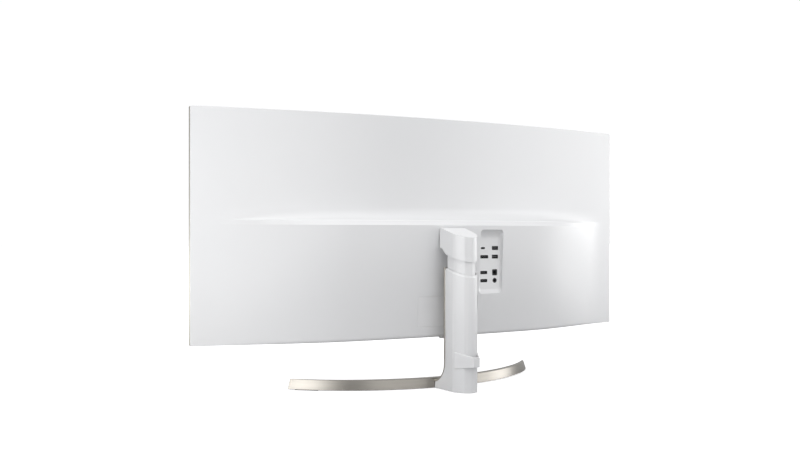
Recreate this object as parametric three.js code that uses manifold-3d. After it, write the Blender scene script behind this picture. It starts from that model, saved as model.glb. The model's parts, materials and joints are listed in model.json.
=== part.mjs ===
// Curved ultra-wide desktop monitor on a height-adjustable stand with an arc-shaped base.
// Millimetres, +Z up. Origin on the desk, under the column: the bottom of the rear foot pad.
// The screen faces -Y, the ports face +Y.
import * as THREE from "three";
import { mergeVertices } from "three/addons/utils/BufferGeometryUtils.js";
import Module from "manifold-3d";

const wasm = await Module();
wasm.setup();

// ---------------------------------------------------------------- driving dimensions
// Display
const SCREEN_R = 2300; // radius of the glass, curved about a vertical axis in front of it
const SCREEN_Y = -90; // front of the glass at the middle
const EDGE_DEPTH = 9; // thickness of the display at its rim
const HALF_W = 448.5; // half of the display's width
const DISPLAY_BOTTOM = 90.8;
const DISPLAY_TOP = 484.8;
const CORNER_R = 2.5;
const SKIN = 1.7; // wall of the rear cover over the thin part
const ARC_STEPS = 24; // segments across the width of every curved sheet

// Raised housing on the lower half of the rear cover
const LEDGE_Z = 298; // flat top of the housing
const LEDGE_DEPTH = 43; // how far the housing stands out under its ledge
const HOLLOW_R = 24; // sweep that carries the flat back out onto the ledge
const BEVEL = { height: 8, turn: THREE.MathUtils.degToRad(43), r: 1.5 }; // rear edge of the ledge
const FOOT_DEPTH = 31; // how far the housing stands out at its bottom edge
const TAPER_FROM = 190; // full depth up to this distance from the middle
const TAPER_TO = 425; // flush with the thin part from here on

// Column
const RIM_FRONT_Z = 214.4; // the rim slopes down towards the nose
const RIM_REAR_Z = 202.1;
const COLUMN_HALF_W = 24;
const NOSE_Y = 30.3;
const CREASE = [13, 25]; // plan point where the side meets the nose
const WALL = 2.2;
const SPINE_Y = [-29, -24.6]; // front and rear of the upright metal plate
const SPINE_HALF_W = 22;
const SPINE_TOP = 216;
const SLIDER_INSET = 3.4; // from the column's outside to the inner sleeve's outside

// Arc base
const BASE_CENTRE_Y = -410.3;
const BASE_R = 358; // outer face of the crescent bar
const BASE_HALF_ANGLE = THREE.MathUtils.degToRad(46.9);
const BASE_Z = [1, 18.3];
const SWEEP = { y: -57, z: 44.5, r: 30.2 }; // bend between the base and the upright plate

// Tilt hinge and head
const TILT = { y: -28.5, z: 274.5 };
const SHAFT_R = 3;
const RUNNING_GAP = 0.06;
const HEAD_FRONT = -36;
const HEAD_CHAMFER = 3.4; // lets the housing swing past the head's top front edge

// Lift mechanism
const DRUM = { y: 9, z: 185, coilR: 10 };
const RAIL_TOP = 200;
const CARRIAGE_Z = [45, 242.5];

// Input-output recess in the housing
const PORTS_X = [-116.5, -64.5];
const PORTS_Z = [165.6, 282.9];
const PORT_FLOOR_Y = -50.5;
const RECESS_DRAFT = { side: 4.8, top: 18.9, bottom: 9.2 }; // how far each wall leans in by the floor
const BOARD_Y = [-66, -64.4];
const PORT_GAP = 0.25;

// Joystick under the bottom edge
const STICK = { x: 0, y: -70, z: 103 };

// ---------------------------------------------------------------- geometry helpers
function solid(geometry) {
  const bare = geometry.clone();
  bare.deleteAttribute("normal");
  bare.deleteAttribute("uv");
  const merged = mergeVertices(bare, 1e-4);
  const vertProperties = new Float32Array(merged.attributes.position.array);
  const triVerts = new Uint32Array(merged.index.array);
  const made = new wasm.Manifold(new wasm.Mesh({ numProp: 3, vertProperties, triVerts }));
  if (made.volume() > 0) return made;
  triVerts.reverse(); // the outline ran clockwise
  return new wasm.Manifold(new wasm.Mesh({ numProp: 3, vertProperties, triVerts }));
}

function geometryOf(manifold) {
  const mesh = manifold.getMesh();
  const geometry = new THREE.BufferGeometry();
  geometry.setAttribute("position", new THREE.BufferAttribute(mesh.vertProperties, 3));
  geometry.setIndex(new THREE.BufferAttribute(mesh.triVerts, 1));
  geometry.computeVertexNormals();
  return geometry;
}

const union = (...solids) => solids.reduce((a, b) => a.add(b));
const cut = (body, ...tools) => tools.reduce((a, b) => a.subtract(b), body);

function shapeOf(points) {
  return new THREE.Shape(points.map(([a, b]) => new THREE.Vector2(a, b)));
}

// Outline of [x, y] points, from z0 up to z1.
function extrudeZ(points, z0, z1) {
  const geometry = new THREE.ExtrudeGeometry(shapeOf(points), {
    depth: z1 - z0,
    bevelEnabled: false,
    steps: 1,
  });
  return solid(geometry.translate(0, 0, z0));
}

// Outline of [y, z] points, from x0 to x1.
function extrudeX(points, x0, x1) {
  const geometry = new THREE.ExtrudeGeometry(shapeOf(points), {
    depth: x1 - x0,
    bevelEnabled: false,
    steps: 1,
  });
  const turn = new THREE.Matrix4().makeBasis(
    new THREE.Vector3(0, 1, 0),
    new THREE.Vector3(0, 0, 1),
    new THREE.Vector3(1, 0, 0),
  );
  return solid(geometry.applyMatrix4(turn).translate(x0, 0, 0));
}

// Outline of [x, z] points, from y0 to y1.
function extrudeY(points, y0, y1) {
  const geometry = new THREE.ExtrudeGeometry(shapeOf(points), {
    depth: y1 - y0,
    bevelEnabled: false,
    steps: 1,
  });
  const turn = new THREE.Matrix4().makeBasis(
    new THREE.Vector3(1, 0, 0),
    new THREE.Vector3(0, 0, 1),
    new THREE.Vector3(0, -1, 0),
  );
  return solid(geometry.applyMatrix4(turn).translate(0, y1, 0));
}

function box([x0, x1], [y0, y1], [z0, z1]) {
  const geometry = new THREE.BoxGeometry(x1 - x0, y1 - y0, z1 - z0);
  return solid(geometry.translate((x0 + x1) / 2, (y0 + y1) / 2, (z0 + z1) / 2));
}

// The span from near to far, on the +X side or mirrored to the -X side.
const onSide = (side, near, far) => (side > 0 ? [near, far] : [-far, -near]);

// Solid of revolution about an axis through (a, b), from a closed [radius, along] profile.
function lathe(profile, segments, axis, a, b) {
  const points = profile.map(([r, h]) => new THREE.Vector2(r, h));
  const geometry = new THREE.LatheGeometry(points, segments);
  const place = {
    x: () => geometry.rotateZ(-Math.PI / 2).translate(0, a, b),
    y: () => geometry.translate(a, 0, b),
    z: () => geometry.rotateX(Math.PI / 2).translate(a, b, 0),
  };
  return solid(place[axis]());
}

// Cylinder along an axis, between two places on that axis.
function rod(r, [from, to], axis, a, b, segments = 24) {
  return lathe([[0, from], [r, from], [r, to], [0, to]], segments, axis, a, b);
}

function arcPoints(cx, cy, r, from, to, steps) {
  return Array.from({ length: steps + 1 }, (_, i) => {
    const angle = from + ((to - from) * i) / steps;
    return [cx + r * Math.cos(angle), cy + r * Math.sin(angle)];
  });
}

function roundedRect([a0, a1], [b0, b1], r, steps = 4) {
  const q = Math.PI / 2;
  return [
    ...arcPoints(a1 - r, b0 + r, r, -q, 0, steps),
    ...arcPoints(a1 - r, b1 - r, r, 0, q, steps),
    ...arcPoints(a0 + r, b1 - r, r, q, 2 * q, steps),
    ...arcPoints(a0 + r, b0 + r, r, 2 * q, 3 * q, steps),
  ];
}

function bezier(p0, p1, p2, p3, steps) {
  const v = (p) => new THREE.Vector2(p[0], p[1]);
  const curve = new THREE.CubicBezierCurve(v(p0), v(p1), v(p2), v(p3));
  return curve.getPoints(steps).map((p) => [p.x, p.y]);
}

// Moves every side of a counter-clockwise outline inwards by a distance.
function inset(points, distance) {
  const n = points.length;
  return points.map((p, i) => {
    const before = points[(i + n - 1) % n];
    const after = points[(i + 1) % n];
    const u = new THREE.Vector2(p[0] - before[0], p[1] - before[1]).normalize();
    const v = new THREE.Vector2(after[0] - p[0], after[1] - p[1]).normalize();
    const scale = distance / (1 + u.dot(v));
    return [p[0] - (u.y + v.y) * scale, p[1] + (u.x + v.x) * scale];
  });
}

// Closed body through a stack of rings that have the same number of points.
function loft(rings) {
  const n = rings[0].length;
  const position = rings.flat(2);
  const index = [];
  for (let k = 0; k < rings.length - 1; k++) {
    for (let i = 0; i < n; i++) {
      const a = k * n + i;
      const b = k * n + ((i + 1) % n);
      index.push(a, b, b + n, a, b + n, a + n);
    }
  }
  const last = (rings.length - 1) * n;
  for (const [a, b, c] of capTriangles(rings[0])) index.push(c, b, a);
  for (const [a, b, c] of capTriangles(rings.at(-1))) index.push(last + a, last + b, last + c);
  const geometry = new THREE.BufferGeometry();
  geometry.setAttribute("position", new THREE.Float32BufferAttribute(position, 3));
  geometry.setIndex(index);
  return solid(geometry);
}

// Triangles of a flat ring, in the ring's own turning direction.
function capTriangles(ring) {
  const p = ring.map((q) => new THREE.Vector3(...q));
  const normal = new THREE.Vector3();
  p.forEach((a, i) => normal.add(a.clone().cross(p[(i + 1) % p.length])));
  const u = p[1].clone().sub(p[0]).normalize();
  const v = normal.normalize().clone().cross(u);
  const flat = p.map((q) => new THREE.Vector2(q.dot(u), q.dot(v)));
  return THREE.ShapeUtils.triangulateShape(flat, []);
}

// ---------------------------------------------------------------- the display's curve
const arcY = (radius, x) => SCREEN_Y - SCREEN_R + Math.sqrt(radius * radius - x * x);
const backY = (x) => arcY(SCREEN_R + EDGE_DEPTH, x);

function stations([x0, x1], steps = ARC_STEPS) {
  return Array.from({ length: steps + 1 }, (_, i) => x0 + ((x1 - x0) * i) / steps);
}

// Plate that follows the screen's curve, between two depths behind the front of the glass.
function sheet(xs, zs, [front, back]) {
  const across = stations(xs);
  const outline = [
    ...across.map((x) => [x, arcY(SCREEN_R + front, x)]),
    ...across.toReversed().map((x) => [x, arcY(SCREEN_R + back, x)]),
  ];
  return extrudeZ(outline, ...zs);
}

const grow = ([a, b], by) => [a - by, b + by];
const DISPLAY_X = [-HALF_W, HALF_W];
const DISPLAY_Z = [DISPLAY_BOTTOM, DISPLAY_TOP];

// Ring that follows the curve, from an inset to a deeper inset of the display's outline.
function sheetRing(outer, inner, depths) {
  const outside = extrudeY(
    roundedRect(grow(DISPLAY_X, -outer), grow(DISPLAY_Z, -outer), CORNER_R),
    -200,
    0,
  );
  const inside = extrudeY(
    roundedRect(grow(DISPLAY_X, -inner), grow(DISPLAY_Z, -inner), CORNER_R / 2),
    -200,
    0,
  );
  return cut(sheet(DISPLAY_X, DISPLAY_Z, depths).intersect(outside), inside);
}

// Share of the housing's full depth at a distance from the middle.
const taper = (x) =>
  Math.max(0.004, 1 - THREE.MathUtils.smoothstep(Math.abs(x), TAPER_FROM, TAPER_TO));

// Depth of the housing's sloping back at a height, where it is at its deepest.
function housingDepth(z) {
  const share = (z - DISPLAY_BOTTOM - 6) / (LEDGE_Z - BEVEL.height - DISPLAY_BOTTOM - 6);
  return FOOT_DEPTH + (LEDGE_DEPTH - FOOT_DEPTH) * share;
}

// Centre of the small round between the ledge's flat top and its bevel.
function lipCentre() {
  const { height, turn, r } = BEVEL;
  const run = (height - r + r * Math.sin(turn)) * Math.tan(turn);
  return { d: LEDGE_DEPTH - r * Math.cos(turn) - run, z: LEDGE_Z - r };
}

// The rear cover's section, as [fixed offset, tapering depth, z] from the top edge round.
function coverSection() {
  const q = Math.PI / 2;
  const low = DISPLAY_BOTTOM;
  const bevelZ = LEDGE_Z - BEVEL.height;
  const hollow = { d: HOLLOW_R, z: LEDGE_Z + HOLLOW_R };
  const lip = lipCentre();
  const heel = { d: FOOT_DEPTH - 6, z: low + 6 };
  const outside = ([d, z]) => [0, d, z];
  const inside = ([d, z]) => [-SKIN, d + SKIN, z];
  const outer = [
    [-SKIN, 0, DISPLAY_TOP],
    [-0.9, 0, DISPLAY_TOP],
    [0, 0, DISPLAY_TOP - 0.9],
    ...arcPoints(hollow.d, hollow.z, HOLLOW_R, 2 * q, 3 * q, 5).map(outside),
    ...arcPoints(lip.d, lip.z, BEVEL.r, q, BEVEL.turn, 2).map(outside),
    [0, LEDGE_DEPTH, bevelZ],
    ...arcPoints(heel.d, heel.z, 6, 0, -q, 3).map(outside),
    [-SKIN, 0, low],
  ];
  const inner = [
    [-SKIN, 0, low + 2],
    ...arcPoints(heel.d, heel.z, 3.8, -q, 0, 2).map(inside),
    [-SKIN, LEDGE_DEPTH - 2 + SKIN, bevelZ - 0.3],
    [-SKIN, lip.d + SKIN, LEDGE_Z - SKIN],
    ...arcPoints(hollow.d, hollow.z, HOLLOW_R + SKIN, 3 * q, 2 * q, 4).map(inside),
  ];
  return [...outer, ...inner];
}

// Plate that follows the sloping back of the housing, between two offsets from its surface.
function onHousing([x0, x1], [z0, z1], [from, to]) {
  const across = stations([x0, x1], 8);
  const outline = [
    ...across.map((x) => [x, backY(x) + from]),
    ...across.toReversed().map((x) => [x, backY(x) + to]),
  ];
  const slope = housingDepth(1) - housingDepth(0);
  const shear = new THREE.Matrix4().set(
    1, 0, 0, 0,
    0, 1, slope, housingDepth(0),
    0, 0, 1, 0,
    0, 0, 0, 1,
  );
  const flat = geometryOf(extrudeZ(outline, z0, z1));
  return solid(flat.applyMatrix4(shear));
}

// ---------------------------------------------------------------- ports
const PORT_END_Y = PORT_FLOOR_Y - 0.1;
const SOCKETS = {
  oval_data_port: { x: -76.5, z: 248.9, w: 9, h: 3.3, r: 1.6, tongue: [6.4, 0.7] },
  display_input: { x: -79.5, z: 233, w: 17, h: 5.6, r: 0.8, tongue: [12.5, 1.2] },
  video_input_upper: { x: -78.4, z: 204.1, w: 15, h: 5.4, r: 1.2, tongue: [11, 1.1] },
  video_input_lower: { x: -78.4, z: 189.2, w: 15, h: 5.4, r: 1.2, tongue: [11, 1.1] },
  data_port_upper: { x: -103.3, z: 248.9, w: 13.4, h: 6.6, r: 0.5, tongue: [11, 2] },
  data_port_lower: { x: -103.3, z: 233, w: 13.4, h: 6.6, r: 0.5, tongue: [11, 2] },
};
const POWER_JACK = { x: -102.7, z: 204.1, w: 11, h: 11, r: 1.5 };
const AUDIO_JACK = { x: -102.7, z: 189.2, r: 4.4 };

function centredRect({ x, z, w, h, r }, extra = 0) {
  const a = w / 2 + extra;
  const b = h / 2 + extra;
  return roundedRect([x - a, x + a], [z - b, z + b], r + extra, 2);
}

// Metal shell that is open at the rear, with the contact tongue standing inside it.
function socket(spec) {
  const wall = 0.45;
  const start = BOARD_Y[1] + 0.2;
  const shell = extrudeY(centredRect(spec), start, PORT_END_Y);
  const mouth = extrudeY(centredRect({ ...spec, r: 0.3 + wall }, -wall), start + 1, 0);
  const [tw, th] = spec.tongue;
  const tongue = box(
    [spec.x - tw / 2, spec.x + tw / 2],
    [start + 0.5, PORT_END_Y - 1.2],
    [spec.z - th / 2, spec.z + th / 2],
  );
  return union(cut(shell, mouth), tongue);
}

function powerJack() {
  const start = BOARD_Y[1] + 0.2;
  const { x, z } = POWER_JACK;
  const body = extrudeY(centredRect(POWER_JACK), start, PORT_END_Y);
  const bore = rod(3.4, [start + 3, 0], "y", x, z, 20);
  const pin = rod(0.9, [start + 2.5, PORT_END_Y - 2], "y", x, z, 8);
  return union(cut(body, bore), pin);
}

function audioJack() {
  const start = BOARD_Y[1] + 0.2;
  const { x, z, r } = AUDIO_JACK;
  return cut(rod(r, [start, PORT_END_Y], "y", x, z, 20), rod(1.8, [start + 2, 0], "y", x, z, 12));
}

// ---------------------------------------------------------------- rear cover
function coverBlank() {
  const section = coverSection();
  const xs = [-HALF_W, ...stations([1 - HALF_W, HALF_W - 1], 28), HALF_W];
  const rings = xs.map((x) => {
    const chamfer = Math.abs(x) === HALF_W ? 0.9 : 0;
    return section.map(([e, d, z]) => {
      const drop = (chamfer * (e + SKIN)) / SKIN;
      return [x, backY(x) + e + taper(x) * d - drop, z];
    });
  });
  return loft(rings);
}

// Wall and floor material behind the port recess, up to just under the housing's surface.
function recessBlock() {
  const outline = roundedRect(grow(PORTS_X, 1.6), grow(PORTS_Z, 1.6), 8);
  const under = onHousing(grow(PORTS_X, 2), grow(PORTS_Z, 2), [-40, -0.5]);
  return extrudeY(outline, PORT_FLOOR_Y - 2, 0).intersect(under);
}

// The recess itself: leaning side walls, a long scooped top, a sloped bottom and a flat floor.
function recessSpace() {
  const ring = (share, yAt) => {
    const side = RECESS_DRAFT.side * share ** 1.5;
    const low = PORTS_Z[0] + RECESS_DRAFT.bottom * share;
    const high = PORTS_Z[1] - RECESS_DRAFT.top * share ** 2;
    const outline = roundedRect(grow(PORTS_X, -side), [low, high], 7 - 3 * share);
    return outline.map(([x, z]) => [x, yAt(x, z), z]);
  };
  const wall = (share) =>
    ring(share, (x, z) => {
      const surface = backY(x) + housingDepth(z);
      return surface + (PORT_FLOOR_Y - surface) * share;
    });
  return loft([ring(0, () => -30), ...[0, 0.35, 0.65, 0.88, 1].map(wall)]);
}

function portHoles() {
  const through = [PORT_FLOOR_Y - 10, 0];
  const holes = Object.values(SOCKETS).map((s) => extrudeY(centredRect(s, PORT_GAP), ...through));
  holes.push(extrudeY(centredRect(POWER_JACK, PORT_GAP), ...through));
  holes.push(rod(AUDIO_JACK.r + PORT_GAP, through, "y", AUDIO_JACK.x, AUDIO_JACK.z, 20));
  return holes;
}

// Two rows of slots in the ledge's flat top, which follow the curve of the back.
function ventSlots() {
  const slots = [];
  for (const depth of [25.2, 30.6]) {
    for (let i = 0; i < 8; i++) {
      const x = (i - 3.5) * 36;
      const y = backY(x) + depth;
      const outline = roundedRect([x - 15, x + 15], [y, y + 3.4], 1.6, 1);
      slots.push(extrudeZ(outline, LEDGE_Z - 4, LEDGE_Z + 2));
    }
  }
  return slots;
}

function speakerSlots() {
  const slots = [];
  for (const side of [-1, 1]) {
    for (let i = 0; i < 7; i++) {
      const x = side * (212 + i * 8);
      const y = backY(x);
      slots.push(extrudeZ(roundedRect([x - 1.5, x + 1.5], [y + 2, y + 12], 1.4, 1), 80, 94));
    }
  }
  return slots;
}

const LABEL_X = [-63, 63];
const LABEL_Z = [110.8, 163.8];

function labelRecess(by, offsets) {
  const outline = roundedRect(grow(LABEL_X, -by), grow(LABEL_Z, -by), 3, 3);
  return onHousing(LABEL_X, LABEL_Z, offsets).intersect(extrudeY(outline, -80, 0));
}

function rearCover() {
  const outside = cut(
    extrudeY(roundedRect(grow(DISPLAY_X, 20), grow(DISPLAY_Z, 20), 5), -200, 0),
    extrudeY(roundedRect(DISPLAY_X, DISPLAY_Z, CORNER_R), -201, 1),
  );
  return cut(
    union(coverBlank(), recessBlock()),
    recessSpace(),
    ...portHoles(),
    ...ventSlots(),
    ...speakerSlots(),
    labelRecess(0, [-1.2, 5]),
    box([-15, 15], [-60, 0], [265.5, 283.5]),
    rod(8.5, [80, 94], "z", STICK.x, STICK.y, 24),
    outside,
  );
}

// ---------------------------------------------------------------- inside the display
function mountBracket() {
  const plate = box([-58, 58], [-54, -51.5], [215, 288]);
  const flange = (x) => box([x - 1.25, x + 1.25], [-83.1, -51.5], [215, 288]);
  const ear = (x) => {
    const tip = arcPoints(TILT.y, TILT.z, 4.8, -Math.PI / 2, Math.PI * 0.78, 10);
    const side = [...tip, [-52, tip.at(-1)[1]], [-52, tip[0][1]]];
    return extrudeX(side, x - 2, x + 2);
  };
  const holes = mountScrewPlaces().map(([x, z]) => rod(2.1, [-60, -40], "y", x, z, 12));
  return cut(
    union(plate, flange(-56.75), flange(56.75), ear(-11), ear(11)),
    rod(SHAFT_R + RUNNING_GAP, [-20, 20], "x", TILT.y, TILT.z, 32),
    ...holes,
  );
}

function mountScrewPlaces() {
  return [[-46, 225], [46, 225], [-46, 278], [46, 278]];
}

// Pan-head screw whose head sits at the +Y end.
function panScrew(x, z, [tip, seat], shankR, headR, headH) {
  const profile = [
    [0, tip],
    [shankR, tip],
    [shankR, seat],
    [headR, seat],
    [headR * 0.8, seat + headH],
    [0, seat + headH],
  ];
  return lathe(profile, 12, "y", x, z);
}

function mainBoard() {
  const board = extrudeY(roundedRect([-185, -62.5], [130, 290], 2, 1), ...BOARD_Y);
  const seat = BOARD_Y[1] - 0.2;
  const processor = box([-164, -136], [seat, seat + 2.5], [216, 244]);
  const sink = box([-166, -134], [seat + 2.4, seat + 4.4], [214, 246]);
  const fins = stations([-164.5, -136.5], 7).map((x) =>
    box([x, x + 1.2], [seat + 4.3, seat + 13], [214, 246]),
  );
  const memory = [158, 180].map((z) => box([-160, -142], [seat, seat + 1.4], [z, z + 12]));
  const header = box([-118, -84], [seat, seat + 4], [134, 139]);
  return union(board, processor, sink, ...fins, ...memory, header);
}

function ledDriverBoard() {
  const board = extrudeY(roundedRect([62.5, 185], [130, 290], 2, 1), ...BOARD_Y);
  const seat = BOARD_Y[1] - 0.2;
  const capacitors = [150, 170, 190].map((z) => rod(6, [seat, seat + 11], "y", 90, z, 12));
  const coils = [225, 250].map((z) => rod(10, [seat, seat + 8], "y", 100, z, 12));
  const transistors = [145, 165, 185, 205].map((z) =>
    box([150, 160], [seat, seat + 4.5], [z, z + 10]),
  );
  const header = box([140, 175], [seat, seat + 6], [250, 262]);
  return union(board, ...capacitors, ...coils, ...transistors, header);
}

// Outline of a strip of even thickness along a line of points.
function ribbon(centre, thickness) {
  const side = (offset) =>
    centre.map(([a, b], i) => {
      const before = centre[Math.max(i - 1, 0)];
      const after = centre[Math.min(i + 1, centre.length - 1)];
      const along = new THREE.Vector2(after[0] - before[0], after[1] - before[1]).normalize();
      return [a - along.y * offset, b + along.x * offset];
    });
  return [...side(-thickness / 2), ...side(thickness / 2).toReversed()];
}

// Flat ribbon from the main board's header down to the timing board.
function panelCable() {
  const centre = bezier([-59.8, 133], [-59.8, 112], [-72, 128], [-78.5, 119.5], 10);
  return extrudeX(ribbon(centre, 0.5), -112, -90);
}

function tconBoard() {
  const board = extrudeY(roundedRect([-125, 40], [108, 127], 1.5, 1), -81.5, -80.3);
  const socketBlock = box([-113, -89], [-80.5, -78.9], [112, 118]);
  return union(board, socketBlock, box([-40, -20], [-80.5, -79], [110, 124]));
}

// Sealed speaker box that follows the curve and fires down through the slots under it.
function speaker(side) {
  const x = 236;
  const turn = Math.asin(x / SCREEN_R);
  const depth = SCREEN_R + EDGE_DEPTH + 1;
  const outline = roundedRect([-30, 30], [0, 15], 2.5, 2);
  const cabinet = extrudeZ(outline, 98, 158);
  const cone = lathe([[0, 106], [5.5, 97], [6, 97], [6, 90], [0, 90]], 20, "z", 0, 7.5);
  const geometry = geometryOf(cut(cabinet, cone));
  geometry.translate(0, depth, 0).rotateZ(-turn * side);
  return solid(geometry.translate(0, SCREEN_Y - SCREEN_R, 0));
}

// ---------------------------------------------------------------- joystick
const PIN_R = 0.9;
const PIN_HOLE_R = 1;

function joystickHousing() {
  const { x, y, z } = STICK;
  const body = extrudeZ(roundedRect([x - 10, x + 10], [y - 10, y + 10], 1.5, 2), z - 7, z + 7);
  const cavity = extrudeZ(roundedRect([x - 8, x + 8], [y - 8, y + 8], 1, 2), z - 9, z + 4.5);
  return cut(body, cavity, rod(PIN_HOLE_R, [y - 12, y + 12], "y", x, z, 12));
}

function joystickRocker() {
  const { x, y, z } = STICK;
  const outline = [[4.2, z - 1.4], [6, z - 1.4], [6, z + 1.4], [4.2, z + 1.4], [4.2, z - 1.4]];
  const ring = lathe(outline, 20, "z", x, y);
  const pins = [1, -1].map((side) => {
    const [near, far] = onSide(side, 5, 9.5);
    return rod(PIN_R, [y + near, y + far], "y", x, z, 12);
  });
  return cut(union(ring, ...pins), rod(PIN_HOLE_R, [x - 8, x + 8], "x", y, z, 12));
}

function joystickStem() {
  const { x, y, z } = STICK;
  const profile = [
    [0, z - 11],
    [1.5, z - 11],
    [1.5, z - 3],
    [2.6, z - 2.4],
    [2.6, z + 2.4],
    [0, z + 2.4],
  ];
  return union(lathe(profile, 16, "z", x, y), rod(PIN_R, [x - 5.8, x + 5.8], "x", y, z, 12));
}

function joystickCap() {
  const { x, y, z } = STICK;
  const profile = [
    [0, z - 16.9],
    [3.6, z - 16.7],
    [5.1, z - 16],
    [5.5, z - 15],
    [5.5, z - 13.4],
    [3, z - 12.8],
    [3, z - 4.7],
    [1.6, z - 4.7],
    [1.6, z - 11.8],
    [0, z - 11.8],
  ];
  return lathe(profile, 20, "z", x, y);
}

// ---------------------------------------------------------------- column and foot
// Plan outline of the column from its front edge, with a crease on each side of the nose.
function columnOutline(frontY, frontHalfW, shoulder = [COLUMN_HALF_W, -15]) {
  const middle = [(frontHalfW + shoulder[0]) / 2, (frontY + shoulder[1]) / 2];
  const half = [
    [frontHalfW, frontY],
    middle,
    shoulder,
    ...bezier([COLUMN_HALF_W, 2], [23.4, 6.5], [19.2, 17.5], CREASE, 4),
    ...bezier(CREASE, [8.5, 27.9], [3.5, NOSE_Y], [0, NOSE_Y], 4).slice(1, -1),
  ];
  const mirrored = half.toReversed().map(([x, y]) => [-x, y]);
  return [...half, [0, NOSE_Y], ...mirrored];
}

// Radius of the column's front edge around the bend of the metal plate.
const FOOT_GAP = 0.35;
const footReach = () => SWEEP.r + (SPINE_Y[1] - SPINE_Y[0]) / 2 + FOOT_GAP;

// Where the bottom of the column starts, behind the bend of the metal plate.
function footFrontY(z) {
  const reach = footReach();
  if (z >= SWEEP.z) return SWEEP.y + reach;
  const drop = SWEEP.z - z;
  const behindBase = BASE_CENTRE_Y + BASE_R + FOOT_GAP;
  if (drop >= reach) return behindBase;
  return Math.max(behindBase, SWEEP.y + Math.sqrt(reach * reach - drop * drop));
}

function columnRings(by, levels) {
  return levels.map((z) => {
    const flare = 1 - THREE.MathUtils.smoothstep(z, 4, 58);
    const outline = columnOutline(footFrontY(z), 21.5 + 4.4 * flare);
    return inset(outline, by).map(([x, y]) => [x, y, z]);
  });
}

function rimPrism() {
  const slope = (RIM_FRONT_Z - RIM_REAR_Z) / (NOSE_Y + 14);
  const outline = [
    [-80, -5],
    [60, -5],
    [60, RIM_REAR_Z - (60 - NOSE_Y) * slope],
    [-14, RIM_FRONT_Z],
    [-80, RIM_FRONT_Z + 7],
  ];
  return extrudeX(outline, -60, 60);
}

function columnCover() {
  const turns = stations([THREE.MathUtils.degToRad(80), 0], 8);
  const bend = turns.map((turn) => SWEEP.z - footReach() * Math.sin(turn));
  const levels = [0.8, 7, ...bend, 58, 230];
  const inner = [-2, 7, ...bend, 58, 232];
  const shell = cut(loft(columnRings(0, levels)), loft(columnRings(WALL, inner)));
  const frontSlot = box([-17.5, 17.5], [-70, -21.8], [-2, 240]);
  return cut(shell.intersect(rimPrism()), frontSlot);
}

// The column's upright outline, grown outwards by a distance.
function columnPrism(by, z0, z1) {
  return extrudeZ(inset(columnOutline(SPINE_Y[1] + 0.3, 21.5), -by), z0, z1);
}

// Inner sleeve that rises out of the column, open at the front for the rail.
function sliderCover() {
  const wall = 1.8;
  return cut(
    columnPrism(-SLIDER_INSET, CARRIAGE_Z[0] + 2, CARRIAGE_Z[1] - 0.3),
    columnPrism(-SLIDER_INSET - wall, 0, 300),
    box([-17.2, 17.2], [-40, -10], [0, 300]),
  );
}

function cableClip() {
  const outer = [[23.6, 9], [6, 43], [-6, 43], [-23.6, 9]];
  const inner = [[21.4, 7], [4.7, 41], [-4.7, 41], [-21.4, 7]];
  const band = cut(extrudeZ(outer, 30, 80), extrudeZ(inner, 20, 90), columnPrism(0.3, 20, 90));
  const side = [[8, 41.4], [43.1, 46.4], [43.1, 63.3], [8, 70.4]];
  return band.intersect(extrudeX(side, -40, 40));
}

// ---------------------------------------------------------------- metal base
// Crescent bar: thick in the middle, thin and leaning inwards at its tips.
function baseBar() {
  const steps = 44;
  const rings = [];
  for (let i = 0; i <= steps; i++) {
    const s = (2 * i) / steps - 1;
    const thickness = 4 + 10.5 * (1 - s * s);
    const lean = 0.5 + 4.7 * s * s;
    const at = (r, turn, z) => [r * Math.sin(turn), BASE_CENTRE_Y + r * Math.cos(turn), z];
    const low = s * BASE_HALF_ANGLE;
    const high = low * 0.992;
    rings.push([
      at(BASE_R, low, BASE_Z[0]),
      at(BASE_R - lean, high, BASE_Z[1]),
      at(BASE_R - lean - thickness, high, BASE_Z[1]),
      at(BASE_R - thickness, low, BASE_Z[0]),
    ]);
  }
  return loft(rings);
}

// Upright plate that bends forward at its foot and widens into the bar.
function spine() {
  const half = (SPINE_Y[1] - SPINE_Y[0]) / 2;
  const section = (y, z, ny, nz, w) => [
    [-w, y - ny * half, z - nz * half],
    [w, y - ny * half, z - nz * half],
    [w, y + ny * half, z + nz * half],
    [-w, y + ny * half, z + nz * half],
  ];
  const middle = (SPINE_Y[0] + SPINE_Y[1]) / 2;
  const rings = [section(middle, SPINE_TOP, 1, 0, SPINE_HALF_W)];
  const steps = 14;
  for (let i = 0; i <= steps; i++) {
    const turn = ((Math.PI / 2) * i) / steps;
    const spread = 1 - Math.sqrt(1 - (i / (steps + 0.4)) ** 2);
    rings.push(
      section(
        SWEEP.y + SWEEP.r * Math.cos(turn),
        SWEEP.z - SWEEP.r * Math.sin(turn),
        Math.cos(turn),
        -Math.sin(turn),
        SPINE_HALF_W + 6 * spread,
      ),
    );
  }
  return loft(rings);
}

const RAIL_SCREW_Z = [70, 150];
const FOOT_SCREW_Y = -28;

function baseArc() {
  const heel = extrudeZ(roundedRect([-17, 17], [-60, 16], 4), 3.6, 9);
  const threads = RAIL_SCREW_Z.map((z) => rod(2.05, [SPINE_Y[0] + 1.4, -20], "y", 0, z, 12));
  const footThread = rod(2.05, [0, 8], "z", 0, FOOT_SCREW_Y, 12);
  return cut(union(baseBar(), spine(), heel), ...threads, footThread);
}

function footPlate() {
  const outline = inset(columnOutline(footFrontY(4), 25.7), WALL + 0.4);
  return cut(extrudeZ(outline, 1.5, 3.3), rod(2.05, [0, 8], "z", 0, FOOT_SCREW_Y, 12));
}

function footScrew() {
  const profile = [[0, 0.6], [3, 0.6], [3.5, 1.4], [1.95, 1.4], [1.95, 7.5], [0, 7.5]];
  return lathe(profile, 12, "z", 0, FOOT_SCREW_Y);
}

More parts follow.
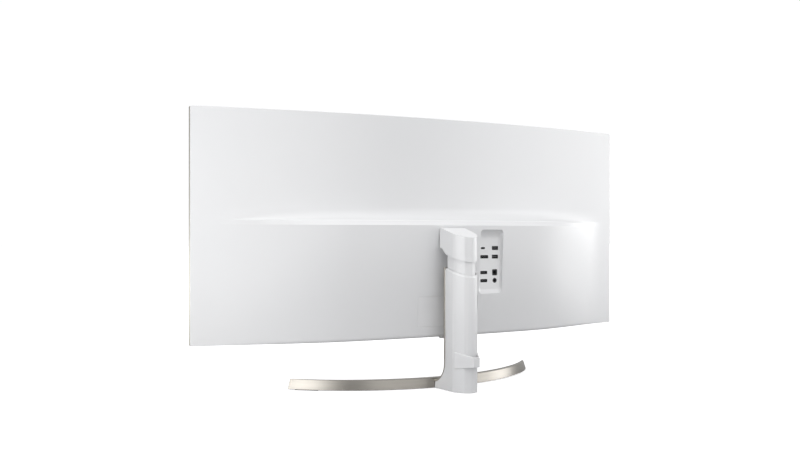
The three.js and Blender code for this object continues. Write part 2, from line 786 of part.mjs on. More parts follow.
// Thin rubber strip under a leg, close to its tip.
function legPad(side) {
  const from = Math.PI / 2 - side * 0.66;
  const to = Math.PI / 2 - side * 0.78;
  const outline = [
    ...arcPoints(0, BASE_CENTRE_Y, BASE_R - 1, from, to, 6),
    ...arcPoints(0, BASE_CENTRE_Y, BASE_R - 4, to, from, 6),
  ];
  return extrudeZ(side > 0 ? outline.toReversed() : outline, 0, BASE_Z[0] - 0.1);
}

// ---------------------------------------------------------------- lift mechanism
function columnRail() {
  const web = box([-16.5, 16.5], [-24.3, -22.3], [12, RAIL_TOP]);
  const flange = (side) => box(onSide(side, 14.5, 16.5), [-24.3, -2], [12, RAIL_TOP]);
  const lip = (side) => box(onSide(side, 11.5, 16.5), [-3.5, -2], [12, RAIL_TOP]);
  const holes = RAIL_SCREW_Z.map((z) => rod(2.05, [-30, -20], "y", 0, z, 12));
  return cut(union(web, flange(1), flange(-1), lip(1), lip(-1)), ...holes);
}

function carriageChannel() {
  const [z0, z1] = CARRIAGE_Z;
  const outside = box([-12, 12], [-19, -5], [z0, z1]);
  const inside = box([-10, 10], [-20, -7], [z0 - 1, z1 + 1]);
  const tab = box([-8, 8], [-5.5, -1.65], [z0 + 1, z0 + 9]);
  return union(cut(outside, inside), tab);
}

// Low-friction pad that wraps the carriage's two flanges from behind.
function guidePad(z0, z1) {
  const along = [z0 - 1, z1 + 1];
  const around = box([-14.3, 14.3], [-20, -3.8], [z0, z1]);
  const channel = box([-12.15, 12.15], [-25, -4.85], along);
  return cut(around, channel);
}

function drumBracket() {
  const cheek = [[-1.8, 176], [6, 176], [14, 181], [14, 199], [-1.8, 199]];
  const arm = (side) => extrudeX(cheek, ...onSide(side, 9.4, 11.2));
  const ear = (side) => box(onSide(side, 11.1, 16.2), [-1.8, -0.2], [176, 199]);
  const bridge = box([-11.2, 11.2], [-1.8, 14], [197.4, 199]);
  return cut(
    union(arm(1), arm(-1), ear(1), ear(-1), bridge),
    rod(2.05, [-14, 14], "x", DRUM.y, DRUM.z, 16),
  );
}

function drumAxle() {
  const profile = [[0, -12.4], [3, -12.4], [3, -11.4], [1.97, -11.4], [1.97, 12.2], [0, 12.2]];
  return lathe(profile, 16, "x", DRUM.y, DRUM.z);
}

function springDrum() {
  const profile = [
    [2.08, -9],
    [11.3, -9],
    [11.3, -8],
    [6.4, -8],
    [6.4, 8],
    [11.3, 8],
    [11.3, 9],
    [2.08, 9],
    [2.08, -9],
  ];
  return lathe(profile, 24, "x", DRUM.y, DRUM.z);
}

function springCoil() {
  const r = DRUM.coilR;
  return lathe([[6.6, -7], [r, -7], [r, 7], [6.6, 7], [6.6, -7]], 24, "x", DRUM.y, DRUM.z);
}

function springStrip() {
  const y = DRUM.y - DRUM.coilR - 0.15;
  return box([-7, 7], [y - 0.3, y], [CARRIAGE_Z[0] + 2, DRUM.z]);
}

// ---------------------------------------------------------------- head and hinge
const headTopZ = (y) => 286.4 - (y + 37) * 0.2665;

function headProfile() {
  const rear = NOSE_Y + 0.6;
  return [
    ...bezier([HEAD_FRONT, 250.3], [-26, 250.3], [-24, 240.4], [-14, 237.8], 8),
    [rear, 226],
    [rear, headTopZ(rear)],
    [HEAD_FRONT + HEAD_CHAMFER, headTopZ(HEAD_FRONT + HEAD_CHAMFER)],
    [HEAD_FRONT, headTopZ(HEAD_FRONT) - HEAD_CHAMFER],
  ];
}

function headCover() {
  const outline = columnOutline(HEAD_FRONT, 25.3, [24.2, -16]);
  const profile = headProfile();
  const outer = extrudeZ(outline, 215, 295).intersect(extrudeX(profile, -40, 40));
  const inner = extrudeZ(inset(outline, WALL), 200, 300).intersect(
    extrudeX(inset(profile, WALL), -40, 40),
  );
  const sliderHole = columnPrism(0.5 - SLIDER_INSET, 200, 262);
  const frontOpening = box([-21.8, 21.8], [-40, -25], [266, 282]);
  return cut(outer, inner, sliderHole, frontOpening);
}

// Cast block on top of the carriage, with a lug each side of the display's ears.
function hingeBracket() {
  const side = [
    ...arcPoints(TILT.y, TILT.z, 5.5, Math.PI * 0.42, Math.PI * 1.25, 10),
    [-14, CARRIAGE_Z[1] + 0.5],
    [9, CARRIAGE_Z[1] + 0.5],
    [9, 262],
  ];
  const lug = (hand) => extrudeX(side, ...onSide(hand, 14.8, 18.6));
  const block = box([-14.9, 14.9], [-14, 9], [CARRIAGE_Z[1] + 0.5, 261.5]);
  return cut(
    union(lug(1), lug(-1), block),
    rod(SHAFT_R + RUNNING_GAP, [-20, 20], "x", TILT.y, TILT.z, 32),
  );
}

function hingeShaft() {
  const r = SHAFT_R;
  const profile = [
    [0, -21.2],
    [4.6, -21.2],
    [5, -20.8],
    [5, -18.9],
    [r, -18.9],
    [r, 21.3],
    [0, 21.3],
  ];
  return lathe(profile, 32, "x", TILT.y, TILT.z);
}

function frictionWasher(side) {
  const [a, b] = onSide(side, 13.2, 14.6);
  const profile = [[3.62, a], [5.3, a], [5.3, b], [3.62, b], [3.62, a]];
  return lathe(profile, 32, "x", TILT.y, TILT.z);
}

function hingeNut() {
  const hexagon = arcPoints(TILT.y, TILT.z, 5.4, 0, (Math.PI * 5) / 3, 5);
  const thread = rod(SHAFT_R + 0.08, [15, 25], "x", TILT.y, TILT.z, 32);
  return cut(extrudeX(hexagon, 18.9, 21.1), thread);
}

// ---------------------------------------------------------------- materials
const finish = (color, roughness, metalness) =>
  new THREE.MeshStandardMaterial({ color, roughness, metalness });
const WHITE_GLOSS = finish(0xe9e9eb, 0.22, 0);
const WHITE_SATIN = finish(0xe6e6e8, 0.38, 0);
const CHAMPAGNE = finish(0xb9b0a2, 0.32, 1);
const STEEL = finish(0x9da0a3, 0.4, 1);
const BLACK_PLASTIC = finish(0x17181a, 0.5, 0);
const DARK_GLASS = finish(0x08090b, 0.12, 0);
const CLEAR_SHEET = finish(0xe8eef0, 0.2, 0);
const CIRCUIT = finish(0x1f5a3c, 0.5, 0);
const PORT_BLUE = finish(0x2f6fb0, 0.45, 0.2);
const RUBBER = finish(0x2a2a2c, 0.9, 0);
const SPRING_STEEL = finish(0x7f858b, 0.3, 1);

// ---------------------------------------------------------------- assembly
const monitor = new THREE.Group();
const groupNames = ["stand", "drum", "carriage", "display", "joystick"];
const groups = Object.fromEntries(groupNames.map((name) => [name, new THREE.Group()]));
monitor.add(...Object.values(groups));

function add(group, name, body, material) {
  const mesh = new THREE.Mesh(geometryOf(body), material);
  mesh.name = name;
  groups[group].add(mesh);
}

// Stand
add("stand", "base_arc", baseArc(), CHAMPAGNE);
add("stand", "column_cover", columnCover(), WHITE_GLOSS);
add("stand", "column_rail", columnRail(), STEEL);
RAIL_SCREW_Z.forEach((z, i) => {
  const screw = panScrew(0, z, [SPINE_Y[0] + 1.6, -22.25], 1.95, 3.6, 2);
  add("stand", i ? "rail_screw_upper" : "rail_screw_lower", screw, STEEL);
});
add("stand", "foot_plate", footPlate(), STEEL);
add("stand", "foot_screw", footScrew(), STEEL);
add("stand", "foot_pad_rear", extrudeZ(roundedRect([-15, 15], [-14, 18], 4), 0, 1.4), RUBBER);
add("stand", "foot_pad_left", legPad(1), RUBBER);
add("stand", "foot_pad_right", legPad(-1), RUBBER);
add("stand", "cable_clip", cableClip(), WHITE_GLOSS);
add("stand", "drum_bracket", drumBracket(), STEEL);
add("stand", "drum_axle", drumAxle(), STEEL);

// Counterbalance drum
add("drum", "spring_drum", springDrum(), BLACK_PLASTIC);
add("drum", "spring_coil", springCoil(), SPRING_STEEL);

// Carriage, which slides up and down in the column
add("carriage", "carriage_channel", carriageChannel(), STEEL);
add("carriage", "guide_pad_lower", guidePad(58, 80), BLACK_PLASTIC);
add("carriage", "guide_pad_upper", guidePad(84, 104), BLACK_PLASTIC);
add("carriage", "slider_cover", sliderCover(), WHITE_GLOSS);
add("carriage", "head_cover", headCover(), WHITE_GLOSS);
add("carriage", "hinge_bracket", hingeBracket(), STEEL);
add("carriage", "hinge_shaft", hingeShaft(), STEEL);
add("carriage", "friction_washer_left", frictionWasher(1), SPRING_STEEL);
add("carriage", "friction_washer_right", frictionWasher(-1), SPRING_STEEL);
add("carriage", "hinge_nut", hingeNut(), STEEL);
add("carriage", "spring_strip", springStrip(), SPRING_STEEL);

// Display, which tilts on the carriage
const GLASS_X = grow(DISPLAY_X, -1.9);
const SHEET_X = grow(DISPLAY_X, -8.4);
add("display", "rear_cover", rearCover(), WHITE_GLOSS);
add("display", "label_plate", labelRecess(0.4, [-1, -0.55]), WHITE_SATIN);
add("display", "edge_trim", sheetRing(0, 1.3, [0, EDGE_DEPTH - SKIN - 0.2]), CHAMPAGNE);
add("display", "panel_frame", sheetRing(1.6, 8, [1.9, 5.9]), BLACK_PLASTIC);
add("display", "lower_bezel", sheet(GLASS_X, [92.8, 104.2], [-0.6, 1.6]), BLACK_PLASTIC);
add("display", "lcd_panel", sheet(GLASS_X, [104.5, 482.8], [0.2, 1.6]), DARK_GLASS);
add("display", "diffuser_sheet", sheet(SHEET_X, [99.5, 476.4], [2, 2.8]), CLEAR_SHEET);
add("display", "light_guide", sheet(SHEET_X, [106, 476.4], [3.1, 5.6]), CLEAR_SHEET);
add("display", "led_strip", sheet(grow(DISPLAY_X, -12), [99.5, 105.5], [3.2, 5.6]), WHITE_SATIN);
add("display", "chassis", sheet(GLASS_X, [93.2, 482.8], [6.1, 6.9]), STEEL);
add("display", "mount_bracket", mountBracket(), STEEL);
mountScrewPlaces().forEach(([x, z], i) => {
  const name = `mount_screw_${i < 2 ? "lower" : "upper"}_${x > 0 ? "left" : "right"}`;
  add("display", name, panScrew(x, z, [-58, -51.4], 1.95, 3.6, 2), STEEL);
});
add("display", "main_board", mainBoard(), CIRCUIT);
add("display", "led_driver_board", ledDriverBoard(), CIRCUIT);
add("display", "tcon_board", tconBoard(), CIRCUIT);
add("display", "panel_cable", panelCable(), WHITE_SATIN);
for (const [name, spec] of Object.entries(SOCKETS)) {
  add("display", name, socket(spec), name.startsWith("data_port") ? PORT_BLUE : STEEL);
}
add("display", "power_jack", powerJack(), BLACK_PLASTIC);
add("display", "audio_jack", audioJack(), BLACK_PLASTIC);
add("display", "speaker_left", speaker(1), BLACK_PLASTIC);
add("display", "speaker_right", speaker(-1), BLACK_PLASTIC);
add("display", "joystick_housing", joystickHousing(), BLACK_PLASTIC);

// Joystick: rocks sideways, then front to back, and its cap presses in
add("joystick", "joystick_rocker", joystickRocker(), STEEL);
add("joystick", "joystick_stem", joystickStem(), BLACK_PLASTIC);
add("joystick", "joystick_cap", joystickCap(), WHITE_SATIN);

export default monitor;
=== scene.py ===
"""Looks of a white curved ultra-wide monitor on its height-adjustable stand.

Shapes are built in millimetres and scaled to metres when a piece is placed. Places come from the CAD frame.
"""

import json
import math

import bmesh
import bpy
from mathutils import Matrix, Vector


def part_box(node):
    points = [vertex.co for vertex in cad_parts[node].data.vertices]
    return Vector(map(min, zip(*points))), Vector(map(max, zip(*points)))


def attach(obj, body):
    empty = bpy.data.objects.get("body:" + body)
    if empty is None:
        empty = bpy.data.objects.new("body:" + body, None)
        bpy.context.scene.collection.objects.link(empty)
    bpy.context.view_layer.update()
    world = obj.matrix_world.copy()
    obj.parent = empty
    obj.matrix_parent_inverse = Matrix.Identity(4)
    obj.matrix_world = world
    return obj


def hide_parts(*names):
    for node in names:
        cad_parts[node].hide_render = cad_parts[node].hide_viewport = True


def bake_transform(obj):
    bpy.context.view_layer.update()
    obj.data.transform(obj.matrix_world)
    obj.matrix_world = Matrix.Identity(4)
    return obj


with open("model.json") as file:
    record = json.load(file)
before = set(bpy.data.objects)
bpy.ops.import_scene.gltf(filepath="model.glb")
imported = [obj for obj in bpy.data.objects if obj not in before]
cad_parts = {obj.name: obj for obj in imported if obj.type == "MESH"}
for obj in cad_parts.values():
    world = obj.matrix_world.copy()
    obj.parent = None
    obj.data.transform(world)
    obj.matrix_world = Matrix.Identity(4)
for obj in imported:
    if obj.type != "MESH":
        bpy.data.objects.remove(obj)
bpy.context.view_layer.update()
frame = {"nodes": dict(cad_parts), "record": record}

MM = 0.001


# ---------------------------------------------------------------- sizes read from the frame, in millimetres
def box_mm(node):
    low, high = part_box(node)
    return low / MM, high / MM


def middle_of(node):
    low, high = box_mm(node)
    return (low + high) / 2


COVER_LOW, COVER_HIGH = box_mm("rear_cover")
GLASS_LOW, GLASS_HIGH = box_mm("lcd_panel")
STRIP_LOW, STRIP_HIGH = box_mm("lower_bezel")
SLIDER_LOW, SLIDER_HIGH = box_mm("slider_cover")
LABEL_LOW, LABEL_HIGH = box_mm("label_plate")
CAP_LOW, CAP_HIGH = box_mm("joystick_cap")
HEAD_FRONT = box_mm("head_cover")[0].y
SPINE_TOP = box_mm("base_arc")[1].z

# Display
HALF_W = COVER_HIGH.x
BOTTOM = COVER_LOW.z
TOP = COVER_HIGH.z
SCREEN_R = 2300
SCREEN_Y = -90
EDGE_DEPTH = 9  # thickness of the display at its rim
SKIN = 1.7
CORNER_R = 2.5
EDGE_ROUND = 1.2
LEDGE_Z = 298
LEDGE_DEPTH = 43
HOLLOW_R = 24  # hollow curve above the ledge
BEVEL_HEIGHT, BEVEL_TURN, BEVEL_R = 8, math.radians(43), 1.5
FOOT_DEPTH = 31  # how far the housing stands out at its bottom edge
TAPER = (190, 425)  # where the housing starts to thin out to the sides, and where it ends
VENT_ROWS = (25.2, 30.6)
VENT_PITCH = 36
LABEL_X = (-63, 63)
LABEL_Z = (110.8, 163.8)

# Port recess
PORTS_X = (-116.5, -64.5)
PORTS_Z = (165.6, 282.9)
RECESS_SIDE, RECESS_TOP, RECESS_BOTTOM = 4.8, 18.9, 9.2  # how far each wall leans in by the floor
PORT_FLOOR_Y = -50.5
PORT_GAP = 0.25
AUDIO_R = 4.4

# Column
COLUMN_HALF_W = 24
COLUMN_FRONT_HALF_W = 21.5
COLUMN_FLARE = 4.4
NOSE_Y = 30.3
CREASE = (13, 25)  # plan point where the side meets the nose
WALL = 2.2
RIM_FRONT_Z = 214.4
RIM_REAR_Z = 202.1
SLIDER_INSET = 3.4
COLUMN_FRONT = -24.3

# Metal base
BASE_CENTRE_Y = -410.3
BASE_R = 358  # outer face of the crescent bar
BASE_HALF_ANGLE = math.radians(46.9)
TIP_ROUND = 1.5
BASE_Z = (1, 18.3)
SPINE_Y = (-29, -24.6)  # front and rear of the upright plate
SPINE_HALF_W = 22
SWEEP_Y, SWEEP_Z, SWEEP_R = -57, 44.5, 30.2  # bend between the base and the upright plate
FOOT_GAP = 0.35
THREAD_R = 2.05


# ---------------------------------------------------------------- outlines
def arc_points(cx, cy, r, start, end, steps):
    turns = [start + (end - start) * i / steps for i in range(steps + 1)]
    return [(cx + r * math.cos(t), cy + r * math.sin(t)) for t in turns]


def rounded_rect(a, b, r, steps=6):
    q = math.pi / 2
    return [
        *arc_points(a[1] - r, b[0] + r, r, -q, 0, steps),
        *arc_points(a[1] - r, b[1] - r, r, 0, q, steps),
        *arc_points(a[0] + r, b[1] - r, r, q, 2 * q, steps),
        *arc_points(a[0] + r, b[0] + r, r, 2 * q, 3 * q, steps),
    ]


def bezier(p0, p1, p2, p3, steps):
    points = []
    for i in range(steps + 1):
        t = i / steps
        w = ((1 - t) ** 3, 3 * t * (1 - t) ** 2, 3 * t * t * (1 - t), t**3)
        points.append(tuple(sum(k * p[axis] for k, p in zip(w, (p0, p1, p2, p3))) for axis in (0, 1)))
    return points


def grow(span, by):
    return (span[0] - by, span[1] + by)


def spread(a, b, steps):
    return [a + (b - a) * i / steps for i in range(steps + 1)]


def smoothstep(x, low, high):
    t = min(max((x - low) / (high - low), 0), 1)
    return t * t * (3 - 2 * t)


def inset(points, distance):
    """Moves every side of a counter-clockwise outline inwards by a distance."""
    moved = []
    for i, p in enumerate(points):
        before, after = points[i - 1], points[(i + 1) % len(points)]
        u = Vector((p[0] - before[0], p[1] - before[1])).normalized()
        v = Vector((after[0] - p[0], after[1] - p[1])).normalized()
        scale = distance / (1 + u.dot(v))
        moved.append((p[0] - (u.y + v.y) * scale, p[1] + (u.x + v.x) * scale))
    return moved


# ---------------------------------------------------------------- solids, as temporary objects in millimetres
def solid(verts, faces):
    mesh = bpy.data.meshes.new("solid")
    mesh.from_pydata(verts, [], faces)
    body = bmesh.new()
    body.from_mesh(mesh)
    bmesh.ops.remove_doubles(body, verts=body.verts, dist=1e-4)
    bmesh.ops.recalc_face_normals(body, faces=body.faces)
    body.to_mesh(mesh)
    body.free()
    made = bpy.data.objects.new("solid", mesh)
    bpy.context.scene.collection.objects.link(made)
    return made


def loft(rings):
    """Closed body through rings that have the same number of points."""
    n = len(rings[0])
    verts = [p for ring in rings for p in ring]
    faces = []
    for k in range(len(rings) - 1):
        for i in range(n):
            a, b = k * n + i, k * n + (i + 1) % n
            faces.append((a, b, b + n, a + n))
    faces.append(tuple(range(n))[::-1])
    faces.append(tuple((len(rings) - 1) * n + i for i in range(n)))
    return solid(verts, faces)


def extrude(points, low, high, axis):
    """Prism of an outline: [x, y] along z, [y, z] along x, or [x, z] along y."""
    place = {
        "x": lambda a, b, c: (c, a, b),
        "y": lambda a, b, c: (a, c, b),
        "z": lambda a, b, c: (a, b, c),
    }[axis]
    return loft([[place(a, b, c) for a, b in points] for c in (low, high)])


def block(x, y, z):
    return extrude([(x[0], y[0]), (x[1], y[0]), (x[1], y[1]), (x[0], y[1])], *z, "z")


def lathe(profile, axis, a, b, steps=48):
    """Solid of revolution about the axis through (a, b), from a closed [radius, along] profile."""
    place = {
        "x": lambda r, h, t: (h, a + r * math.cos(t), b + r * math.sin(t)),
        "y": lambda r, h, t: (a + r * math.cos(t), h, b + r * math.sin(t)),
        "z": lambda r, h, t: (a + r * math.cos(t), b + r * math.sin(t), h),
    }[axis]
    verts, faces = [], []
    n = len(profile)
    for k in range(steps):
        turn = 2 * math.pi * k / steps
        verts.extend(place(r, h, turn) for r, h in profile)
    for k in range(steps):
        for i in range(n - 1):
            a0 = k * n + i
            a1 = a0 + 1
            b0 = ((k + 1) % steps) * n + i
            b1 = b0 + 1
            if profile[i][0] < 1e-6:
                faces.append((a0, a1, b1))
            elif profile[i + 1][0] < 1e-6:
                faces.append((a0, a1, b0))
            else:
                faces.append((a0, a1, b1, b0))
    return solid(verts, faces)


def rod(r, low, high, axis, a, b, steps=32):
    return lathe([(0, low), (r, low), (r, high), (0, high)], axis, a, b, steps)


def combine(target, tools, operation):
    for tool in tools:
        change = target.modifiers.new("combine", "BOOLEAN")
        change.operation = operation
        change.object = tool
        change.solver = "EXACT"
    bpy.context.view_layer.update()
    shape = target.evaluated_get(bpy.context.evaluated_depsgraph_get())
    made = bpy.data.meshes.new_from_object(shape)
    target.modifiers.clear()
    target.data = made
    for tool in tools:
        bpy.data.objects.remove(tool)
    return target


def cut(target, *tools):
    return combine(target, tools, "DIFFERENCE")


def join(target, *tools):
    return combine(target, tools, "UNION")


def common(target, *tools):
    return combine(target, tools, "INTERSECT")


def round_edges(target, radius, steps=3, sharper_than=40, where=None):
    """Rounds the edges that turn more than an angle, optionally only those that where(point) accepts."""
    body = bmesh.new()
    body.from_mesh(target.data)
    bmesh.ops.dissolve_degenerate(body, dist=1e-4, edges=body.edges)
    limit = math.radians(sharper_than)
    edges = [
        e
        for e in body.edges
        if e.is_manifold
        and e.calc_face_angle(0) > limit
        and (where is None or all(where(v.co) for v in e.verts))
    ]
    bmesh.ops.bevel(
        body, geom=edges, offset=radius, segments=steps, profile=0.5, affect="EDGES", clamp_overlap=True
    )
    body.to_mesh(target.data)
    body.free()


def mark_creases(mesh):
    """Keeps the upright creases beside a nose sharp under smooth shading."""
    body = bmesh.new()
    body.from_mesh(mesh)
    for e in body.edges:
        if not e.is_manifold:
            continue
        upright = all(abs(f.normal.z) < 0.02 for f in e.link_faces)
        if upright and e.calc_face_angle(0) > math.radians(10):
            e.smooth = False
    body.to_mesh(mesh)
    body.free()


def dress(made, name, slot, replaces, materials=None, smooth=32, creases=False):
    """Names a finished solid, scales it to metres, and shades it in place of a CAD node."""
    made.name = name
    made.data.name = name
    made.data.transform(Matrix.Scale(MM, 4))
    made.data.materials.clear()
    for material in materials or [MATERIALS[slot]]:
        made.data.materials.append(material)
    for face in made.data.polygons:
        face.use_smooth = True
    made.data.set_sharp_from_angle(angle=math.radians(smooth))
    if creases:
        mark_creases(made.data)
    even = made.modifiers.new("even_shading", "WEIGHTED_NORMAL")
    even.keep_sharp = True
    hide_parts(replaces)


def place(made, name, body, slot, replaces, **finish):
    """Dresses a solid and fixes it to its body."""
    dress(made, name, slot, replaces, **finish)
    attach(made, body)


# ---------------------------------------------------------------- material nodes
class NodeTree:
    """A tree of shader nodes, with short calls for the nodes used here."""

    def __init__(self, tree):
        self.nodes, self.links = tree.nodes, tree.links

    def node(self, kind, **settings):
        made = self.nodes.new(kind)
        for key, value in settings.items():
            setattr(made, key, value)
        return made

    def feed(self, socket, value):
        if isinstance(value, bpy.types.NodeSocket):
            self.links.new(value, socket)
        elif hasattr(socket.default_value, "__len__") and not hasattr(value, "__len__"):
            socket.default_value = [value] * len(socket.default_value)
        else:
            socket.default_value = value

    def math(self, operation, a, b=0.0):
        made = self.node("ShaderNodeMath", operation=operation)
        for socket, value in zip(made.inputs, (a, b)):
            self.feed(socket, value)
        return made.outputs[0]

    def ramp(self, value, low, high, out_low=0.0, out_high=1.0, interpolation="LINEAR"):
        made = self.node("ShaderNodeMapRange", interpolation_type=interpolation)
        numbers = (low, high, out_low, out_high)
        self.feed(made.inputs["Value"], value)
        for socket, number in zip(("From Min", "From Max", "To Min", "To Max"), numbers):
            made.inputs[socket].default_value = number
        return made.outputs["Result"]

    def mix(self, share, a, b, kind="RGBA"):
        made = self.node("ShaderNodeMix", data_type=kind)
        for socket, value in zip(("Factor", "A", "B"), (share, a, b)):
            self.feed(made.inputs[socket], value)
        return made.outputs["Result"]


class Shader(NodeTree):
    """A material, whose patterns are placed in the object's own coordinates."""

    def __init__(self, name):
        self.material = bpy.data.materials.new(name)
        self.material.use_nodes = True
        super().__init__(self.material.node_tree)
        self.bsdf = self.nodes["Principled BSDF"]
        self.place = self.node("ShaderNodeTexCoord").outputs["Object"]

    def split(self):
        made = self.node("ShaderNodeSeparateXYZ")
        self.feed(made.inputs[0], self.place)
        return made.outputs

    def vector(self, x, y, z):
        made = self.node("ShaderNodeCombineXYZ")
        for socket, value in zip(made.inputs, (x, y, z)):
            self.feed(socket, value)
        return made.outputs[0]

    def scaled(self, x, y, z, scale):
        """Vector of three values, each times its own scale."""
        return self.vector(*(self.math("MULTIPLY", value, k) for value, k in zip((x, y, z), scale)))

    def stretch(self, scale):
        made = self.node("ShaderNodeVectorMath", operation="MULTIPLY")
        self.feed(made.inputs[0], self.place)
        made.inputs[1].default_value = scale
        return made.outputs[0]

    def noise(self, scale, detail=2.0, rough=0.5, vector=None):
        made = self.node("ShaderNodeTexNoise")
        self.feed(made.inputs["Vector"], vector or self.place)
        for socket, number in zip(("Scale", "Detail", "Roughness"), (scale, detail, rough)):
            made.inputs[socket].default_value = number
        return made.outputs["Fac"]

    def cells(self, scale):
        made = self.node("ShaderNodeTexVoronoi")
        self.feed(made.inputs["Vector"], self.place)
        made.inputs["Scale"].default_value = scale
        return made.outputs["Distance"]

    # Mask of sharp convex edges, used for painted edge highlights and painted edge shade.
    def painted_edge_light(self, low, high):
        return self.ramp(self.node("ShaderNodeNewGeometry").outputs["Pointiness"], low, high)

    def bump(self, height, distance, strength=1.0, after=None):
        made = self.node("ShaderNodeBump")
        self.feed(made.inputs["Height"], height)
        made.inputs["Distance"].default_value = distance
        made.inputs["Strength"].default_value = strength
        if after is not None:
            self.links.new(after, made.inputs["Normal"])
        return made.outputs["Normal"]

    def set(self, **inputs):
        for key, value in inputs.items():
            self.feed(self.bsdf.inputs[key.replace("_", " ")], value)
        return self.material


def rgb(r, g, b):
    return (r, g, b, 1.0)


def white_gloss_plastic():
    """Glossy moulded plastic: faint flow clouds, orange peel, hairline scratches, and sharp edges painted
    paler as a painted edge highlight.

    The gloss fades at grazing angles, so that white faces stay readable against a white room.
    """
    s = Shader("white_gloss_plastic")
    clouds = s.noise(2.6, 3, 0.5)
    edges = s.painted_edge_light(0.52, 0.60)
    tone = s.mix(s.ramp(clouds, 0.35, 0.65), rgb(0.738, 0.740, 0.748), rgb(0.758, 0.758, 0.763))
    # Sharp edges painted paler: a painted edge highlight.
    tone = s.mix(s.math("MULTIPLY", edges, 0.35), tone, rgb(0.82, 0.82, 0.82))
    smudges = s.ramp(s.noise(14, 4, 0.6), 0.4, 0.75, 0.0, 0.05)
    hairs = s.ramp(s.noise(60, 3, 0.6, s.stretch((1, 1, 22))), 0.55, 0.75, 0.0, 0.04)
    rough = s.math("ADD", s.math("ADD", smudges, hairs), 0.20)
    peel = s.bump(s.noise(150, 2, 0.4), 0.00002, 0.5)
    fine = s.bump(s.noise(2200, 2, 0.5), 0.000004, 0.5, after=peel)
    slant = s.node("ShaderNodeLayerWeight").outputs["Facing"]
    gloss = s.ramp(slant, 0.48, 0.74, 0.5, 0.0)
    s.set(Specular_IOR_Level=gloss, Coat_Weight=s.math("MULTIPLY", gloss, 0.8))
    return s.set(Base_Color=tone, Roughness=rough, Normal=fine, Coat_Roughness=0.16)


def white_satin_plastic():
    """Spark-eroded satin plastic with a fine even grain."""
    s = Shader("white_satin_plastic")
    grain = s.cells(1900)
    tone = s.mix(s.noise(5, 3), rgb(0.74, 0.74, 0.745), rgb(0.78, 0.78, 0.785))
    rough = s.ramp(s.noise(40, 3), 0.3, 0.7, 0.36, 0.46)
    return s.set(Base_Color=tone, Roughness=rough, Normal=s.bump(grain, 0.00002, 0.35))


def champagne_metal():
    """Satin aluminium brushed along the arc of the base and up the column plate."""
    s = Shader("champagne_metal")
    x, y, z = s.split()
    from_centre = s.math("SUBTRACT", y, BASE_CENTRE_Y * MM)
    turn = s.math("ARCTAN2", x, from_centre)
    squares = [s.math("MULTIPLY", value, value) for value in (x, from_centre)]
    radius = s.math("SQRT", s.math("ADD", *squares))
    around = s.scaled(turn, radius, z, (2.2, 900, 900))
    upwards = s.scaled(x, y, z, (900, 900, 7))
    upright = s.ramp(z, 0.030, 0.060)
    grain_vector = s.mix(upright, around, upwards)
    grain = s.noise(1, 3, 0.65, grain_vector)
    coarse = s.noise(0.22, 2, 0.5, grain_vector)
    tone = s.mix(s.ramp(grain, 0.3, 0.7), rgb(0.465, 0.44, 0.40), rgb(0.53, 0.505, 0.465))
    edges = s.painted_edge_light(0.51, 0.58)
    # Sharp edges painted darker: painted shade along the edges of the bar and plate.
    tone = s.mix(s.math("MULTIPLY", edges, 0.5), tone, rgb(0.26, 0.24, 0.21))
    rough = s.math("ADD", s.ramp(coarse, 0.3, 0.7, 0.30, 0.34), s.ramp(grain, 0.3, 0.7, -0.02, 0.03))
    across = s.mix(upright, (0, 0, 1, 0), (1, 0, 0, 0))
    return s.set(
        Base_Color=tone,
        Metallic=1.0,
        Roughness=rough,
        Normal=s.bump(grain, 0.000004, 0.2),
        Anisotropic=0.9,
        Tangent=across,
    )


def trim_metal():
    """Thin painted trim round the display, brushed along its length."""
    s = Shader("trim_metal")
    grain = s.noise(1, 2, 0.6, s.stretch((9, 1500, 1500)))
    tone = s.mix(s.ramp(grain, 0.3, 0.7), rgb(0.52, 0.49, 0.43), rgb(0.62, 0.59, 0.53))
    return s.set(
        Base_Color=tone,
        Metallic=0.85,
        Roughness=s.ramp(grain, 0.3, 0.7, 0.28, 0.38),
        Normal=s.bump(grain, 0.000006, 0.3),
    )


def plated_steel():
    """Zinc-plated pressed steel: fine grain with cloudy spangle."""
    s = Shader("plated_steel")
    spangle = s.cells(160)
    cloud = s.noise(45, 4, 0.6)
    tone = s.mix(s.ramp(spangle, 0.0, 0.7), rgb(0.50, 0.51, 0.53), rgb(0.62, 0.63, 0.64))
    rough = s.ramp(cloud, 0.3, 0.7, 0.30, 0.46)
    drawn = s.noise(900, 3, 0.6)
    return s.set(Base_Color=tone, Metallic=1.0, Roughness=rough, Normal=s.bump(drawn, 0.000008, 0.4))


def spring_steel():
    """Blued spring strip with rolling lines."""
    s = Shader("spring_steel")
    lines = s.noise(1, 3, 0.6, s.stretch((2500, 60, 60)))
    tone = s.mix(s.noise(30, 3), rgb(0.26, 0.29, 0.34), rgb(0.40, 0.41, 0.43))
    return s.set(
        Base_Color=tone,
        Metallic=1.0,
        Roughness=s.ramp(lines, 0.3, 0.7, 0.22, 0.36),
        Normal=s.bump(lines, 0.000006, 0.4),
    )


def black_plastic():
    """Textured black engineering plastic."""
    s = Shader("black_plastic")
    grain = s.noise(1400, 3, 0.6)
    tone = s.mix(s.noise(25, 3), rgb(0.012, 0.012, 0.013), rgb(0.028, 0.028, 0.030))
    rough = s.ramp(s.noise(60, 3), 0.3, 0.7, 0.42, 0.58)
    s.set(Base_Color=tone, Roughness=rough, Normal=s.bump(grain, 0.00002, 0.4))
    return s.set(Specular_IOR_Level=0.3)


